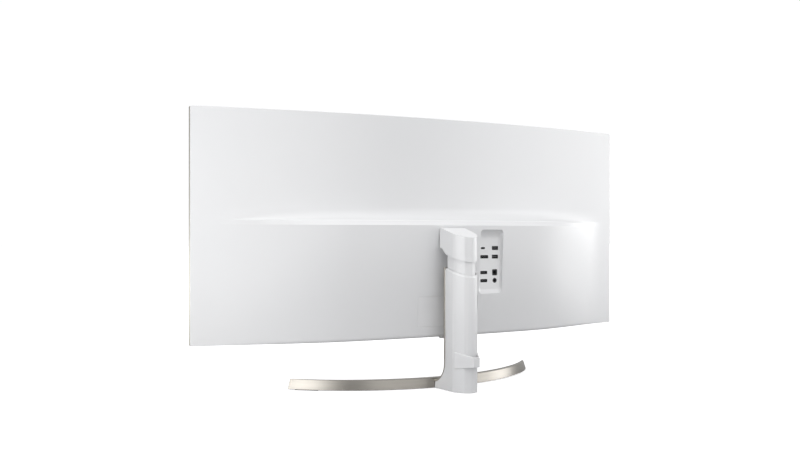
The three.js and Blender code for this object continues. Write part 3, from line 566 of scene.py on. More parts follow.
def screen_glass():
    """Anti-glare display surface that is off: dark picture area with a fine pixel grid, blacker border."""
    s = Shader("screen_glass")
    x, _, z = s.split()
    border, lower_border, fade, pitch = 6.7 * MM, 4 * MM, 0.2 * MM, 0.229 * MM
    right, top = GLASS_HIGH.x * MM - border, GLASS_HIGH.z * MM - border
    bottom = GLASS_LOW.z * MM + lower_border
    side = s.ramp(s.math("ABSOLUTE", x), right, right + fade)
    high = s.ramp(z, top, top + fade)
    low = s.ramp(z, bottom, bottom + fade, 1.0, 0.0)
    edge = s.math("MAXIMUM", s.math("MAXIMUM", side, high), low)
    rows, columns = [
        s.math("ABSOLUTE", s.math("SINE", s.math("MULTIPLY", value, math.pi / pitch))) for value in (z, x)
    ]
    pixels = s.ramp(s.math("MULTIPLY", rows, columns), 0.0, 1.0, 0.6, 1.0)
    lit = s.mix(pixels, rgb(0.004, 0.0045, 0.006), rgb(0.009, 0.0095, 0.012))
    tone = s.mix(edge, lit, rgb(0.002, 0.002, 0.0022))
    haze = s.noise(3500, 2, 0.5)
    rough = s.math("ADD", s.ramp(s.noise(6, 3), 0.3, 0.7, 0.16, 0.20), s.ramp(haze, 0.3, 0.7, 0.0, 0.04))
    return s.set(Base_Color=tone, Roughness=rough, Normal=s.bump(haze, 0.000002, 0.4), IOR=1.5)


def clear_sheet():
    """Frosted acrylic or film, with a printed dot pattern."""
    s = Shader("clear_sheet")
    dots = s.ramp(s.cells(600), 0.25, 0.32)
    tone = s.mix(dots, rgb(0.90, 0.92, 0.93), rgb(0.78, 0.82, 0.84))
    return s.set(
        Base_Color=tone,
        Roughness=s.ramp(s.noise(80, 2), 0.3, 0.7, 0.18, 0.3),
        Normal=s.bump(dots, 0.00001, 0.3),
        Transmission_Weight=0.25,
    )


def circuit_board():
    """Green solder mask with traces near the board's face, and dark or metal parts standing on it."""
    s = Shader("circuit_board")
    x, y, z = s.split()
    lanes = s.noise(1, 1, 0.3, s.vector(s.math("MULTIPLY", x, 30), 0.0, s.math("MULTIPLY", z, 900)))
    risers = s.noise(1, 1, 0.3, s.vector(s.math("MULTIPLY", x, 900), 3.0, s.math("MULTIPLY", z, 30)))
    traces = s.ramp(s.math("MAXIMUM", lanes, risers), 0.60, 0.62)
    board = s.mix(traces, rgb(0.008, 0.085, 0.045), rgb(0.02, 0.16, 0.08))
    pads = s.ramp(s.cells(420), 0.13, 0.10)
    board = s.mix(s.math("MULTIPLY", pads, 0.8), board, rgb(0.72, 0.66, 0.45))
    parts = s.mix(s.ramp(s.cells(38), 0.3, 0.5), rgb(0.02, 0.02, 0.022), rgb(0.25, 0.26, 0.28))
    face = box_mm("main_board")[0].y + 1.75
    on_top = s.ramp(y, face * MM, face * MM + 0.0002)
    return s.set(
        Base_Color=s.mix(on_top, board, parts),
        Roughness=s.ramp(s.noise(200, 2), 0.3, 0.7, 0.3, 0.5),
        Normal=s.bump(traces, 0.00004, 0.5),
    )


def port_shell(name):
    """Connector shell with drawing lines along its depth, coloured near-black as painted shade of its deep
    mouth.
    """
    s = Shader(name)
    lines = s.noise(1, 2, 0.6, s.stretch((2600, 90, 2600)))
    # Near-black tone is painted shade of the recess; the plated metal itself is much paler.
    tone = s.mix(s.ramp(lines, 0.3, 0.7), rgb(0.035, 0.035, 0.037), rgb(0.07, 0.07, 0.072))
    return s.set(
        Base_Color=tone,
        Metallic=1.0,
        Roughness=s.ramp(lines, 0.3, 0.7, 0.2, 0.34),
        Normal=s.bump(lines, 0.000008, 0.3),
    )


def tongue(name, tone):
    """Moulded contact carrier inside a connector."""
    s = Shader(name)
    grain = s.noise(2600, 2, 0.5)
    deeper = tuple(0.7 * c for c in tone[:3]) + (1.0,)
    return s.set(
        Base_Color=s.mix(s.noise(300, 2), deeper, tone),
        Roughness=s.ramp(grain, 0.3, 0.7, 0.5, 0.65),
        Normal=s.bump(grain, 0.00001, 0.3),
        Specular_IOR_Level=0.15,
    )


def gold_contacts():
    """Gold-plated contacts with wipe marks along their length."""
    s = Shader("gold_contacts")
    wipe = s.noise(1, 2, 0.6, s.stretch((3000, 120, 3000)))
    return s.set(
        Base_Color=s.mix(s.ramp(wipe, 0.3, 0.7), rgb(0.70, 0.50, 0.20), rgb(0.86, 0.67, 0.33)),
        Metallic=1.0,
        Roughness=s.ramp(wipe, 0.3, 0.7, 0.18, 0.32),
        Normal=s.bump(wipe, 0.000004, 0.3),
    )


def rubber():
    """Matt moulded rubber."""
    s = Shader("rubber")
    grain = s.noise(900, 4, 0.7)
    tone = s.mix(s.noise(70, 3), rgb(0.030, 0.030, 0.032), rgb(0.055, 0.055, 0.058))
    rough = s.ramp(grain, 0.3, 0.7, 0.75, 0.95)
    return s.set(Base_Color=tone, Roughness=rough, Normal=s.bump(grain, 0.00005, 0.5))


MATERIALS = {
    "white_gloss": white_gloss_plastic(),
    "white_satin": white_satin_plastic(),
    "champagne_metal": champagne_metal(),
    "steel": plated_steel(),
    "spring_steel": spring_steel(),
    "black_plastic": black_plastic(),
    "screen_glass": screen_glass(),
    "clear_sheet": clear_sheet(),
    "circuit": circuit_board(),
    "port_metal": port_shell("port_shell"),
    "port_blue": port_shell("port_shell_blue"),
    "rubber": rubber(),
}
TRIM = trim_metal()
BLACK_TONGUE = tongue("black_tongue", rgb(0.012, 0.012, 0.013))
BLUE_TONGUE = tongue("blue_tongue", rgb(0.06, 0.15, 0.31))
GOLD = gold_contacts()


# ---------------------------------------------------------------- display
def arc_y(radius, x):
    return SCREEN_Y - SCREEN_R + math.sqrt(radius * radius - x * x)


def back_y(x):
    """The thin part's flat back."""
    return arc_y(SCREEN_R + EDGE_DEPTH, x)


def taper(x):
    """Share of the housing's depth at a distance from the middle."""
    return max(0.002, 1 - smoothstep(abs(x), *TAPER))


def housing_depth(z):
    """Depth of the housing's sloping back at a height."""
    share = (z - BOTTOM - 6) / (LEDGE_Z - BEVEL_HEIGHT - BOTTOM - 6)
    return FOOT_DEPTH + (LEDGE_DEPTH - FOOT_DEPTH) * share


def cover_section():
    """The rear cover's section, as (fixed offset, tapering depth, z) from the top edge round."""
    q = math.pi / 2
    bevel_z = LEDGE_Z - BEVEL_HEIGHT
    run = (BEVEL_HEIGHT - BEVEL_R + BEVEL_R * math.sin(BEVEL_TURN)) * math.tan(BEVEL_TURN)
    lip = (LEDGE_DEPTH - BEVEL_R * math.cos(BEVEL_TURN) - run, LEDGE_Z - BEVEL_R)
    hollow = (HOLLOW_R, LEDGE_Z + HOLLOW_R)
    heel = (FOOT_DEPTH - 6, BOTTOM + 6)
    outer = [(-SKIN, 0, TOP)]
    outer += [(e, 0, z) for e, z in arc_points(-EDGE_ROUND, TOP - EDGE_ROUND, EDGE_ROUND, q, 0, 4)]
    outer += [(0, 0, z) for z in spread(TOP - 30, hollow[1] + 20, 5)]
    outer += [(0, d, z) for d, z in arc_points(*hollow, HOLLOW_R, 2 * q, 3 * q, 18)]
    outer += [(0, d, z) for d, z in arc_points(*lip, BEVEL_R, q, BEVEL_TURN, 5)]
    outer += [(0, d, z) for d, z in arc_points(LEDGE_DEPTH - 0.5, bevel_z, 0.5, BEVEL_TURN, 0, 3)]
    outer += [(0, housing_depth(z), z) for z in spread(bevel_z - 24, heel[1] + 24, 6)]
    outer += [(0, d, z) for d, z in arc_points(*heel, 6, 0, -q, 8)]
    outer += [(-SKIN, 0, BOTTOM)]
    inner = [(-SKIN, 0, BOTTOM + 2)]
    inner += [(-SKIN, d + SKIN, z) for d, z in arc_points(*heel, 3.8, -q, 0, 3)]
    inner += [(-SKIN, LEDGE_DEPTH - 2 + SKIN, bevel_z - 0.3), (-SKIN, lip[0] + SKIN, LEDGE_Z - SKIN)]
    inner += [(-SKIN, d + SKIN, z) for d, z in arc_points(*hollow, HOLLOW_R + SKIN, 3 * q, 2 * q, 6)]
    return outer + inner


def cover_blank():
    """The rear cover before its openings: the section swept along the curve, with rounded ends."""
    section = cover_section()
    rim = [
        (HALF_W - EDGE_ROUND * (1 - math.sin(t)), EDGE_ROUND * (1 - math.cos(t)))
        for t in spread(0, math.pi / 2, 4)
    ]
    middle = [(x, 0) for x in spread(-HALF_W + 8, HALF_W - 8, 88)]
    rings = []
    for x, drop in [(-x, drop) for x, drop in reversed(rim)] + middle + rim:
        base = back_y(x)
        rings.append([(x, base + e + taper(x) * d - drop * (e + SKIN) / SKIN, z) for e, d, z in section])
    return loft(rings)


def on_housing(xs, outline, start, end):
    """Plate with an [x, z] outline that follows the sloping, curved back of the housing."""
    plate = extrude(outline, start, end, "y")
    body = bmesh.new()
    body.from_mesh(plate.data)
    for x in spread(*xs, 16)[1:-1]:
        geometry = body.verts[:] + body.edges[:] + body.faces[:]
        bmesh.ops.bisect_plane(body, geom=geometry, plane_co=(x, 0, 0), plane_no=(1, 0, 0))
    for v in body.verts:
        v.co.y += back_y(v.co.x) + housing_depth(v.co.z)
    body.to_mesh(plate.data)
    body.free()
    return plate


def recess_ring(share, y_at):
    """Outline of the port recess, from the housing's surface (0) down to its flat floor (1)."""
    side = RECESS_SIDE * share**1.5
    low = PORTS_Z[0] + RECESS_BOTTOM * share
    high = PORTS_Z[1] - RECESS_TOP * share**2
    outline = rounded_rect(grow(PORTS_X, -side), (low, high), 7 - 3 * share, 10)
    return [(x, y_at(x, z), z) for x, z in outline]


def recess_space():
    """The port recess, whose walls ease into its floor."""

    def wall(share):
        def y_at(x, z):
            surface = back_y(x) + housing_depth(z)
            return surface + (PORT_FLOOR_Y - surface) * math.sin(math.pi / 2 * share)

        return recess_ring(share, y_at)

    eased = [1 - (1 - t) ** 1.5 for t in spread(0, 1, 14)]
    return loft([recess_ring(0, lambda x, z: -30)] + [wall(t) for t in eased])


# Node: corner radius, (tongue width, tongue height), number of contacts, contact carrier
SOCKETS = {
    "oval_data_port": (1.6, (6.4, 0.7), 12, BLACK_TONGUE),
    "display_input": (0.8, (12.5, 1.2), 10, BLACK_TONGUE),
    "video_input_upper": (1.2, (11, 1.1), 10, BLACK_TONGUE),
    "video_input_lower": (1.2, (11, 1.1), 10, BLACK_TONGUE),
    "data_port_upper": (0.5, (11, 2), 4, BLUE_TONGUE),
    "data_port_lower": (0.5, (11, 2), 4, BLUE_TONGUE),
}


def port_outline(node, extra=0.0):
    low, high = box_mm(node)
    r = SOCKETS[node][0] if node in SOCKETS else 1.5
    return rounded_rect(grow((low.x, high.x), extra), grow((low.z, high.z), extra), r + extra)


def port_hole_tools():
    square = [*SOCKETS, "power_jack"]
    tools = [extrude(port_outline(node, PORT_GAP), PORT_FLOOR_Y - 10, -30, "y") for node in square]
    jack = middle_of("audio_jack")
    tools.append(rod(AUDIO_R + PORT_GAP, PORT_FLOOR_Y - 10, -30, "y", jack.x, jack.z))
    return tools


def vent_tools():
    """Rows of slots in the ledge's flat top, which follow the curve of the back."""
    tools = []
    for depth in VENT_ROWS:
        for i in range(8):
            x = (i - 3.5) * VENT_PITCH
            y = back_y(x) + depth
            slot = rounded_rect((x - 15, x + 15), (y, y + 3.4), 1.6, 5)
            tools.append(extrude(slot, LEDGE_Z - 4, LEDGE_Z + 2, "z"))
    return tools


def speaker_slot_tools():
    tools = []
    for side in (-1, 1):
        for i in range(7):
            x = side * (212 + i * 8)
            y = back_y(x)
            tools.append(extrude(rounded_rect((x - 1.5, x + 1.5), (y + 2, y + 12), 1.4, 5), 80, 94, "z"))
    return tools


def rear_cover():
    stick = middle_of("joystick_housing")
    shell = cover_blank()
    common(shell, extrude(rounded_rect((-HALF_W, HALF_W), (BOTTOM, TOP), CORNER_R), -200, 0, "y"))
    block_outline = rounded_rect(grow(PORTS_X, 1.6), grow(PORTS_Z, 1.6), 8, 8)
    pocket = extrude(block_outline, PORT_FLOOR_Y - 2, 0, "y")
    common(pocket, on_housing(grow(PORTS_X, 1.6), block_outline, -40, -0.5))
    join(shell, pocket)
    cut(shell, recess_space())

    def on_recess_rim(p):
        wide = PORTS_X[0] - 1 < p.x < PORTS_X[1] + 1 and PORTS_Z[0] - 1 < p.z < PORTS_Z[1] + 1
        return wide and abs(p.y - back_y(p.x) - housing_depth(p.z)) < 0.15

    round_edges(shell, 0.8, 3, 12, on_recess_rim)
    label = on_housing(LABEL_X, rounded_rect(LABEL_X, LABEL_Z, 3), -1.2, 5)
    cut(
        shell,
        *port_hole_tools(),
        *vent_tools(),
        *speaker_slot_tools(),
        label,
        block((-15, 15), (-60, 0), (265.5, 283.5)),
        rod(8.5, 80, 94, "z", stick.x, stick.y, 48),
    )
    place(shell, "rear_cover_shell", "display", "white_gloss", "rear_cover")


def label_plate():
    """Blank rating plate with two raised lines and no lettering."""
    xs, zs = (LABEL_LOW.x, LABEL_HIGH.x), (LABEL_Z[0] + 0.4, LABEL_Z[1] - 0.4)
    plate = on_housing(xs, rounded_rect(xs, zs, 2.6), -1.0, -0.55)
    lines = []
    for z in (145.8, 154.8):
        lines.append(on_housing(xs, rounded_rect(grow(xs, -6), (z - 0.5, z + 0.5), 0.45), -0.8, -0.2))
    join(plate, *lines)
    place(plate, "blank_label", "display", "white_satin", "label_plate")


def sheet(xs, zs, front, back):
    """Curved sheet, whose two faces lie at given distances behind the screen's arc."""
    across = spread(*xs, 96)
    outline = [(x, arc_y(SCREEN_R + front, x)) for x in across]
    outline += [(x, arc_y(SCREEN_R + back, x)) for x in reversed(across)]
    return extrude(outline, *zs, "z")


def edge_trim():
    xs, zs = (-HALF_W, HALF_W), (BOTTOM, TOP)
    trim = sheet(xs, zs, 0, EDGE_DEPTH - SKIN - 0.2)
    common(trim, extrude(rounded_rect(xs, zs, CORNER_R), -200, 0, "y"))
    cut(trim, extrude(rounded_rect(grow(xs, -1.3), grow(zs, -1.3), CORNER_R / 2), -201, 1, "y"))
    round_edges(trim, 0.25, 2, 60)
    place(trim, "edge_trim_ring", "display", "champagne_metal", "edge_trim", materials=[TRIM])


def screen():
    glass = sheet((GLASS_LOW.x, GLASS_HIGH.x), (GLASS_LOW.z, GLASS_HIGH.z), 0.2, 1.6)
    round_edges(glass, 0.3, 2, 60)
    place(glass, "screen_panel", "display", "screen_glass", "lcd_panel")


def lower_strip():
    strip = sheet((STRIP_LOW.x, STRIP_HIGH.x), (STRIP_LOW.z, STRIP_HIGH.z), -0.6, 1.6)
    round_edges(strip, 0.5, 3, 60)
    place(strip, "lower_bezel_strip", "display", "black_plastic", "lower_bezel")


# ---------------------------------------------------------------- connectors
def paint_faces(made, index, accepts):
    """Gives a material slot to the faces whose centres are accepted."""
    for face in made.data.polygons:
        if accepts(face.center):
            face.material_index = index


def socket(node):
    """Rolled metal shell with a flared lip, the tongue inside it and a row of contacts on the tongue."""
    r, (tongue_w, tongue_h), contacts, carrier = SOCKETS[node]
    low, high = box_mm(node)
    centre = (low + high) / 2
    wall = 0.45
    shell = extrude(port_outline(node), low.y, high.y, "y")
    mouth_x, mouth_z = (low.x + wall, high.x - wall), (low.z + wall, high.z - wall)
    r_in = max(r - wall, 0.25)
    mouth = loft([
        [(x, y, z) for x, z in rounded_rect(grow(mouth_x, by), grow(mouth_z, by), r_in + by)]
        for y, by in ((low.y + 1, 0), (high.y - 0.25, 0), (high.y + 0.05, 0.2), (high.y + 1, 0.2))
    ])
    cut(shell, mouth)
    bar = block(
        (centre.x - tongue_w / 2, centre.x + tongue_w / 2),
        (low.y + 0.5, high.y - 1.2),
        (centre.z - tongue_h / 2, centre.z + tongue_h / 2),
    )
    round_edges(bar, min(0.25, tongue_h / 4), 2)
    pins = []
    pitch = (tongue_w - 1.2) / contacts
    for i in range(contacts):
        x = centre.x + (i - (contacts - 1) / 2) * pitch
        pins.append(block(
            (x - pitch * 0.28, x + pitch * 0.28),
            (low.y + 2, high.y - 1.5),
            (centre.z - tongue_h / 2 - 0.08, centre.z - tongue_h / 2 + 0.1),
        ))
    join(shell, bar)
    join(shell, *pins)
    half_w, half_h = tongue_w / 2 + 0.01, tongue_h / 2

    def in_cavity(p):
        across = abs(p.x - centre.x) < high.x - centre.x - 0.1
        upright = abs(p.z - centre.z) < high.z - centre.z - 0.1
        return across and upright and low.y + 0.5 < p.y < high.y - 0.2

    def on_tongue(p):
        across = abs(p.x - centre.x) <= half_w
        return across and abs(p.z - centre.z) <= half_h + 0.01 and p.y > low.y + 1.01

    def on_contact(p):
        return abs(p.x - centre.x) <= half_w and -half_h - 0.1 < p.z - centre.z < -half_h - 0.01

    # The shell's inner walls take the carrier's dark colour: painted shade inside the mouth.
    paint_faces(shell, 3, in_cavity)
    paint_faces(shell, 1, on_tongue)
    paint_faces(shell, 2, on_contact)
    slot = "port_blue" if carrier is BLUE_TONGUE else "port_metal"
    materials = [MATERIALS[slot], carrier, GOLD, carrier]
    place(shell, node + "_connector", "display", slot, node, materials=materials, smooth=25)


def power_jack():
    low, high = box_mm("power_jack")
    x, _, z = (low + high) / 2
    body = extrude(port_outline("power_jack"), low.y, high.y, "y")
    round_edges(body, 0.3, 2, 60)
    bore = [
        (0, low.y + 3), (3.2, low.y + 3), (3.2, high.y - 0.6), (4, high.y + 0.2), (4, high.y + 2),
        (0, high.y + 2),
    ]
    cut(body, lathe(bore, "y", x, z))
    pin = [(0, low.y + 2.5), (0.95, low.y + 2.5), (0.95, high.y - 2.4), (0.5, high.y - 2), (0, high.y - 2)]
    join(body, lathe(pin, "y", x, z))
    paint_faces(body, 1, lambda p: math.hypot(p.x - x, p.z - z) < 1 and p.y > low.y + 3.01)
    materials = [MATERIALS["black_plastic"], MATERIALS["port_metal"]]
    place(body, "power_jack_body", "display", "black_plastic", "power_jack", materials=materials, smooth=25)


def audio_jack():
    low, high = box_mm("audio_jack")
    x, _, z = (low + high) / 2
    profile = [
        (0, low.y), (AUDIO_R, low.y), (AUDIO_R, high.y - 0.3), (AUDIO_R - 0.3, high.y), (2.5, high.y),
        (2.0, high.y - 0.5), (1.8, high.y - 0.8), (1.8, low.y + 2), (0, low.y + 2),
    ]
    body = lathe(profile, "y", x, z)
    paint_faces(body, 1, lambda p: math.hypot(p.x - x, p.z - z) < 2.45 and p.y > low.y + 2.01)
    materials = [MATERIALS["black_plastic"], MATERIALS["port_metal"]]
    place(body, "audio_jack_body", "display", "black_plastic", "audio_jack", materials=materials, smooth=25)


def joystick_cap():
    """Thumb cap with a shallow dish, ridges round its rim and a hollow collar that slides on the stem."""
    x, y, _ = middle_of("joystick_cap")
    z = CAP_LOW.z
    profile = [
        (0, z + 0.5), (2.4, z + 0.35), (3.6, z), (4.6, z + 0.25), (5.2, z + 0.9), (5.5, z + 1.9),
        (5.5, z + 3.2), (5.2, z + 3.6), (3.2, z + 4.1), (3, z + 4.4), (3, CAP_HIGH.z - 0.2),
        (2.8, CAP_HIGH.z), (1.6, CAP_HIGH.z), (1.6, z + 5.1), (0, z + 5.1),
    ]
    cap = lathe(profile, "z", x, y, 72)
    for v in cap.data.vertices:
        offset = Vector((v.co.x - x, v.co.y - y))
        if offset.length > 5.4:
            turn = math.atan2(offset.y, offset.x)
            ridge = 1 - 0.018 * (0.5 + 0.5 * math.cos(24 * turn))
            v.co.x, v.co.y = x + offset.x * ridge, y + offset.y * ridge
    place(cap, "joystick_thumb_cap", "joystick_cap_body", "white_satin", "joystick_cap")


# ---------------------------------------------------------------- column, head and clip
def column_outline(front_y, front_half_w, shoulder=(COLUMN_HALF_W, -15)):
    middle = ((front_half_w + shoulder[0]) / 2, (front_y + shoulder[1]) / 2)
    half = [(front_half_w, front_y), middle, shoulder]
    half += bezier((COLUMN_HALF_W, 2), (23.4, 6.5), (19.2, 17.5), CREASE, 12)
    half += bezier(CREASE, (8.5, 27.9), (3.5, NOSE_Y), (0, NOSE_Y), 10)[1:-1]
    return half + [(0, NOSE_Y)] + [(-x, y) for x, y in reversed(half)]


def foot_reach():
    return SWEEP_R + (SPINE_Y[1] - SPINE_Y[0]) / 2 + FOOT_GAP


def foot_front_y(z):
    """Where the bottom of the column starts, behind the bend of the metal plate."""
    reach = foot_reach()
    if z >= SWEEP_Z:
        return SWEEP_Y + reach
    drop = SWEEP_Z - z
    behind_base = BASE_CENTRE_Y + BASE_R + FOOT_GAP
    if drop >= reach:
        return behind_base
    return max(behind_base, SWEEP_Y + math.sqrt(reach * reach - drop * drop))


def column_rings(by, levels):
    rings = []
    for z in levels:
        flare = (1 - smoothstep(z, 2, 60)) ** 1.3
        outline = column_outline(foot_front_y(z), COLUMN_FRONT_HALF_W + COLUMN_FLARE * flare)
        rings.append([(x, y, z) for x, y in inset(outline, by)])
    return rings


def rim_z(y):
    """Height of the column's sloping rim, level behind the front shoulder."""
    slope = (RIM_FRONT_Z - RIM_REAR_Z) / (NOSE_Y + 14)
    return RIM_FRONT_Z - (y + 14) * slope * smoothstep(y, -22, -6)


def rim_envelope():
    """Everything under the rim, whose outer edge carries a wide chamfer."""
    outline = column_outline(foot_front_y(100), COLUMN_FRONT_HALF_W)
    rings = [[(x, y, z) for x, y in inset(outline, -30)] for z in (-5, 150)]
    rings.append([(x, y, 151) for x, y in inset(outline, -0.3)])
    for by, drop in ((-0.3, 3.7), (0.1, 3.1), (1.5, 0.3), (1.8, 0)):
        rings.append([(x, y, rim_z(y) - drop) for x, y in inset(outline, by)])
    return loft(rings)


def column_cover():
    bend = [SWEEP_Z - foot_reach() * math.sin(t) for t in spread(math.radians(80), 0, 20)]
    levels = [0.8, 4, 8, *bend, 50, 56, 62]
    shell = loft(column_rings(0, [*levels, 230]))
    common(shell, rim_envelope())
    cut(shell, loft(column_rings(WALL, [-2, 7, *bend, 62, 240])))
    cut(shell, block((-17.5, 17.5), (-70, -21.8), (-2, 240)))
    place(shell, "column_shell", "stand", "white_gloss", "column_cover", creases=True)


def column_prism(by, low, high):
    return extrude(inset(column_outline(COLUMN_FRONT, COLUMN_FRONT_HALF_W), -by), low, high, "z")


def slider_cover():
    shell = column_prism(-SLIDER_INSET, SLIDER_LOW.z, SLIDER_HIGH.z)
    round_edges(shell, 0.4, 2, 60)
    cut(shell, column_prism(-SLIDER_INSET - 1.8, 0, 300))
    cut(shell, block((-17.2, 17.2), (-40, -10), (0, 300)))
    place(shell, "slider_sleeve", "carriage", "white_gloss", "slider_cover", creases=True)


def head_top_z(y):
    return 286.4 - (y + 37) * 0.2665


def head_profile():
    front, rear = HEAD_FRONT, NOSE_Y + 0.6
    chamfer = 3.4
    return [
        *bezier((front, 250.3), (-26, 250.3), (-24, 240.4), (-14, 237.8), 16),
        (rear, 226),
        (rear, head_top_z(rear)),
        (front + chamfer, head_top_z(front + chamfer)),
        (front, head_top_z(front) - chamfer),
    ]


def head_cover():
    outline = column_outline(HEAD_FRONT, 25.3, (24.2, -16))
    shell = extrude(outline, 215, 295, "z")
    common(shell, extrude(head_profile(), -40, 40, "x"))
    round_edges(shell, 1.3, 4, 40)
    hollow = extrude(inset(outline, WALL), 200, 300, "z")
    common(hollow, extrude(inset(head_profile(), WALL), -40, 40, "x"))
    cut(shell, hollow)
    cut(shell, column_prism(0.5 - SLIDER_INSET, 200, 262))
    cut(shell, block((-21.8, 21.8), (-40, -25), (266, 282)))
    place(shell, "head_shell", "carriage", "white_gloss", "head_cover", creases=True)


def cable_clip():
    outer = [(23.6, 9), (6, 43), (-6, 43), (-23.6, 9)]
    inner = [(21.4, 7), (4.7, 41), (-4.7, 41), (-21.4, 7)]
    band = extrude(outer, 30, 80, "z")
    common(band, extrude([(8, 41.4), (43.1, 46.4), (43.1, 63.3), (8, 70.4)], -40, 40, "x"))
    round_edges(band, 0.8, 3, 30)
    cut(band, extrude(inner, 20, 90, "z"))
    cut(band, column_prism(0.3, 20, 90))
    place(band, "cable_clip_band", "stand", "white_gloss", "cable_clip")


# ---------------------------------------------------------------- metal base
def base_bar():
    """Crescent bar with softened edges: thick in the middle, thin and leaning inwards at its rounded tips."""
    rings = []
    soft = 0.45
    bit = soft / (BASE_Z[1] - BASE_Z[0])
    ends = [1 - TIP_ROUND * t / (BASE_R * BASE_HALF_ANGLE) for t in (0, 0.08, 0.3, 0.62, 1)]
    for s in [-e for e in ends] + spread(-0.99, 0.99, 138) + ends[::-1]:
        thickness = 4 + 10.5 * (1 - s * s)
        lean = 0.5 + 4.7 * s * s
        left = min(1, (1 - abs(s)) * BASE_R * BASE_HALF_ANGLE / TIP_ROUND)
        pull = TIP_ROUND * (1 - math.sqrt(left * (2 - left)))

        def at(radius, share):
            turn = s * BASE_HALF_ANGLE * (1 - 0.008 * share)
            z = BASE_Z[0] + (BASE_Z[1] - BASE_Z[0]) * share
            r = radius - lean * share
            return (r * math.sin(turn), BASE_CENTRE_Y + r * math.cos(turn), z)

        outer = BASE_R - pull
        inner = BASE_R - thickness + pull
        rings.append([
            at(outer - soft, 0), at(outer, bit), at(outer, 1 - bit), at(outer - soft, 1),
            at(inner + soft, 1), at(inner, 1 - bit), at(inner, bit), at(inner + soft, 0),
        ])
    return loft(rings)


def spine():
    """Upright plate with softened edges that bends forward at its foot and widens into the bar."""
    half = (SPINE_Y[1] - SPINE_Y[0]) / 2
    soft = 0.5

    def section(y, z, ny, nz, w):
        corners = [
            (-w + soft, -half), (w - soft, -half), (w, -half + soft), (w, half - soft),
            (w - soft, half), (-w + soft, half), (-w, half - soft), (-w, -half + soft),
        ]
        return [(x, y + ny * d, z + nz * d) for x, d in corners]

    middle = sum(SPINE_Y) / 2
    rings = [section(middle, z, 1, 0, SPINE_HALF_W) for z in (SPINE_TOP, 150, 90)]
    steps = 36
    for i in range(steps + 1):
        turn = math.pi / 2 * i / steps
        wide = SPINE_HALF_W + 6 * (1 - math.sqrt(1 - (i / (steps + 0.4)) ** 2))
        y, z = SWEEP_Y + SWEEP_R * math.cos(turn), SWEEP_Z - SWEEP_R * math.sin(turn)
        rings.append(section(y, z, math.cos(turn), -math.sin(turn), wide))
    return loft(rings)


def base_arc():
    heel = extrude(rounded_rect((-17, 17), (-60, 16), 4), 3.6, 9, "z")
    metal = join(base_bar(), spine(), heel)
    threads = [
        rod(THREAD_R, SPINE_Y[0] + 1.4, -20, "y", 0, middle_of(node).z)
        for node in ("rail_screw_lower", "rail_screw_upper")
    ]
    threads.append(rod(THREAD_R, 0, 8, "z", 0, middle_of("foot_screw").y))
    cut(metal, *threads)
    place(metal, "arc_base_metal", "stand", "champagne_metal", "base_arc")


# ---------------------------------------------------------------- lift
def spring_strip():
    """Steel strip that hangs from the coil to the carriage and grows or shrinks with the height."""
    low, high = box_mm("spring_strip")
    full, bow = high.x, 0.12
    rings = []
    for z in spread(low.z, high.z, 40):
        half = full - 1.2 * (1 - smoothstep(z, low.z, low.z + 3)) ** 2
        front = [(x, low.y + bow * (x / full) ** 2, z) for x in spread(-half, half, 8)]
        rear = [(x, high.y - bow + bow * (x / full) ** 2, z) for x in spread(half, -half, 8)]
        rings.append(front + rear)
    made = loft(rings)
    dress(made, "spring_strip_band", "spring_steel", "spring_strip")
    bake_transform(made)


# ---------------------------------------------------------------- build
def dress_cad_nodes():
    """Every CAD node gets its slot's material; most of the inner ones stay as they are."""
    slots = {part["node"]: part["material_slot"] for part in frame["record"]["subparts"]}
    for name, node in frame["nodes"].items():
        node.data.materials.clear()
        node.data.materials.append(MATERIALS[slots[name]])


dress_cad_nodes()
rear_cover()
label_plate()
edge_trim()
screen()
lower_strip()
for port in SOCKETS:
    socket(port)
power_jack()
audio_jack()
joystick_cap()
column_cover()
slider_cover()
head_cover()
cable_clip()
base_arc()
spring_strip()


# ---------------------------------------------------------------- floor, light and camera
CAMERA_AT = Vector((0.9074, 1.3863, 0.2730))
CAMERA_YAW = math.radians(29.39)
CAMERA_LENS = 42.55

# Walls seen in reflections: (bearing from +Y towards +X, half width, soft edge, glow, top), in degrees
WALLS = (
    (-62, 12, 36, 3.0, 52),
    (-82, 6, 9, 2.5, 30),
    (77, 10, 34, 3.8, 75),
    (1, 10, 20, 1.7, 28),
)
GAP_GLOW = 0.45
CEILING_GLOW = 1.0


def floor():
    """Pale sweep: burnt out to white on camera, dimmer near the object in reflections than far away."""
    s = Shader("pale_floor")
    speckle = s.noise(3, 4, 0.5)
    path = s.node("ShaderNodeLightPath")
    seen, glossy = path.outputs["Is Camera Ray"], path.outputs["Is Glossy Ray"]
    bounced = s.mix(s.ramp(speckle, 0.3, 0.7), rgb(0.40, 0.40, 0.41), rgb(0.44, 0.44, 0.44))
    tone = s.mix(seen, bounced, rgb(0.97, 0.97, 0.97))
    distance = s.node("ShaderNodeVectorMath", operation="LENGTH")
    s.feed(distance.inputs[0], s.place)
    far = s.ramp(distance.outputs["Value"], 0.9, 2.6, 0.0, 1.7)
    glow = s.math("ADD", s.math("MULTIPLY", seen, 0.5), s.math("MULTIPLY", glossy, far))
    s.set(Base_Color=tone, Roughness=0.6, Normal=s.bump(s.noise(400, 2), 0.00002, 0.2))
    s.set(Emission_Color=rgb(1, 1, 1), Emission_Strength=glow)
    bpy.ops.mesh.primitive_plane_add(size=40)
    plane = bpy.context.object
    plane.name = "floor"
    plane.data.materials.append(s.material)


def softbox(name, position, target, size, radiance):
    """Rectangular lamp that lights the object but leaves no outline in its gloss."""
    data = bpy.data.lights.new(name, "AREA")
    data.shape = "RECTANGLE"
    data.size, data.size_y = size
    data.energy = math.pi * size[0] * size[1] * radiance
    lamp = bpy.data.objects.new(name, data)
    lamp.location = position
    lamp.rotation_euler = (Vector(target) - Vector(position)).to_track_quat("-Z", "Y").to_euler()
    lamp.visible_camera = False
    lamp.visible_glossy = False
    bpy.context.scene.collection.objects.link(lamp)


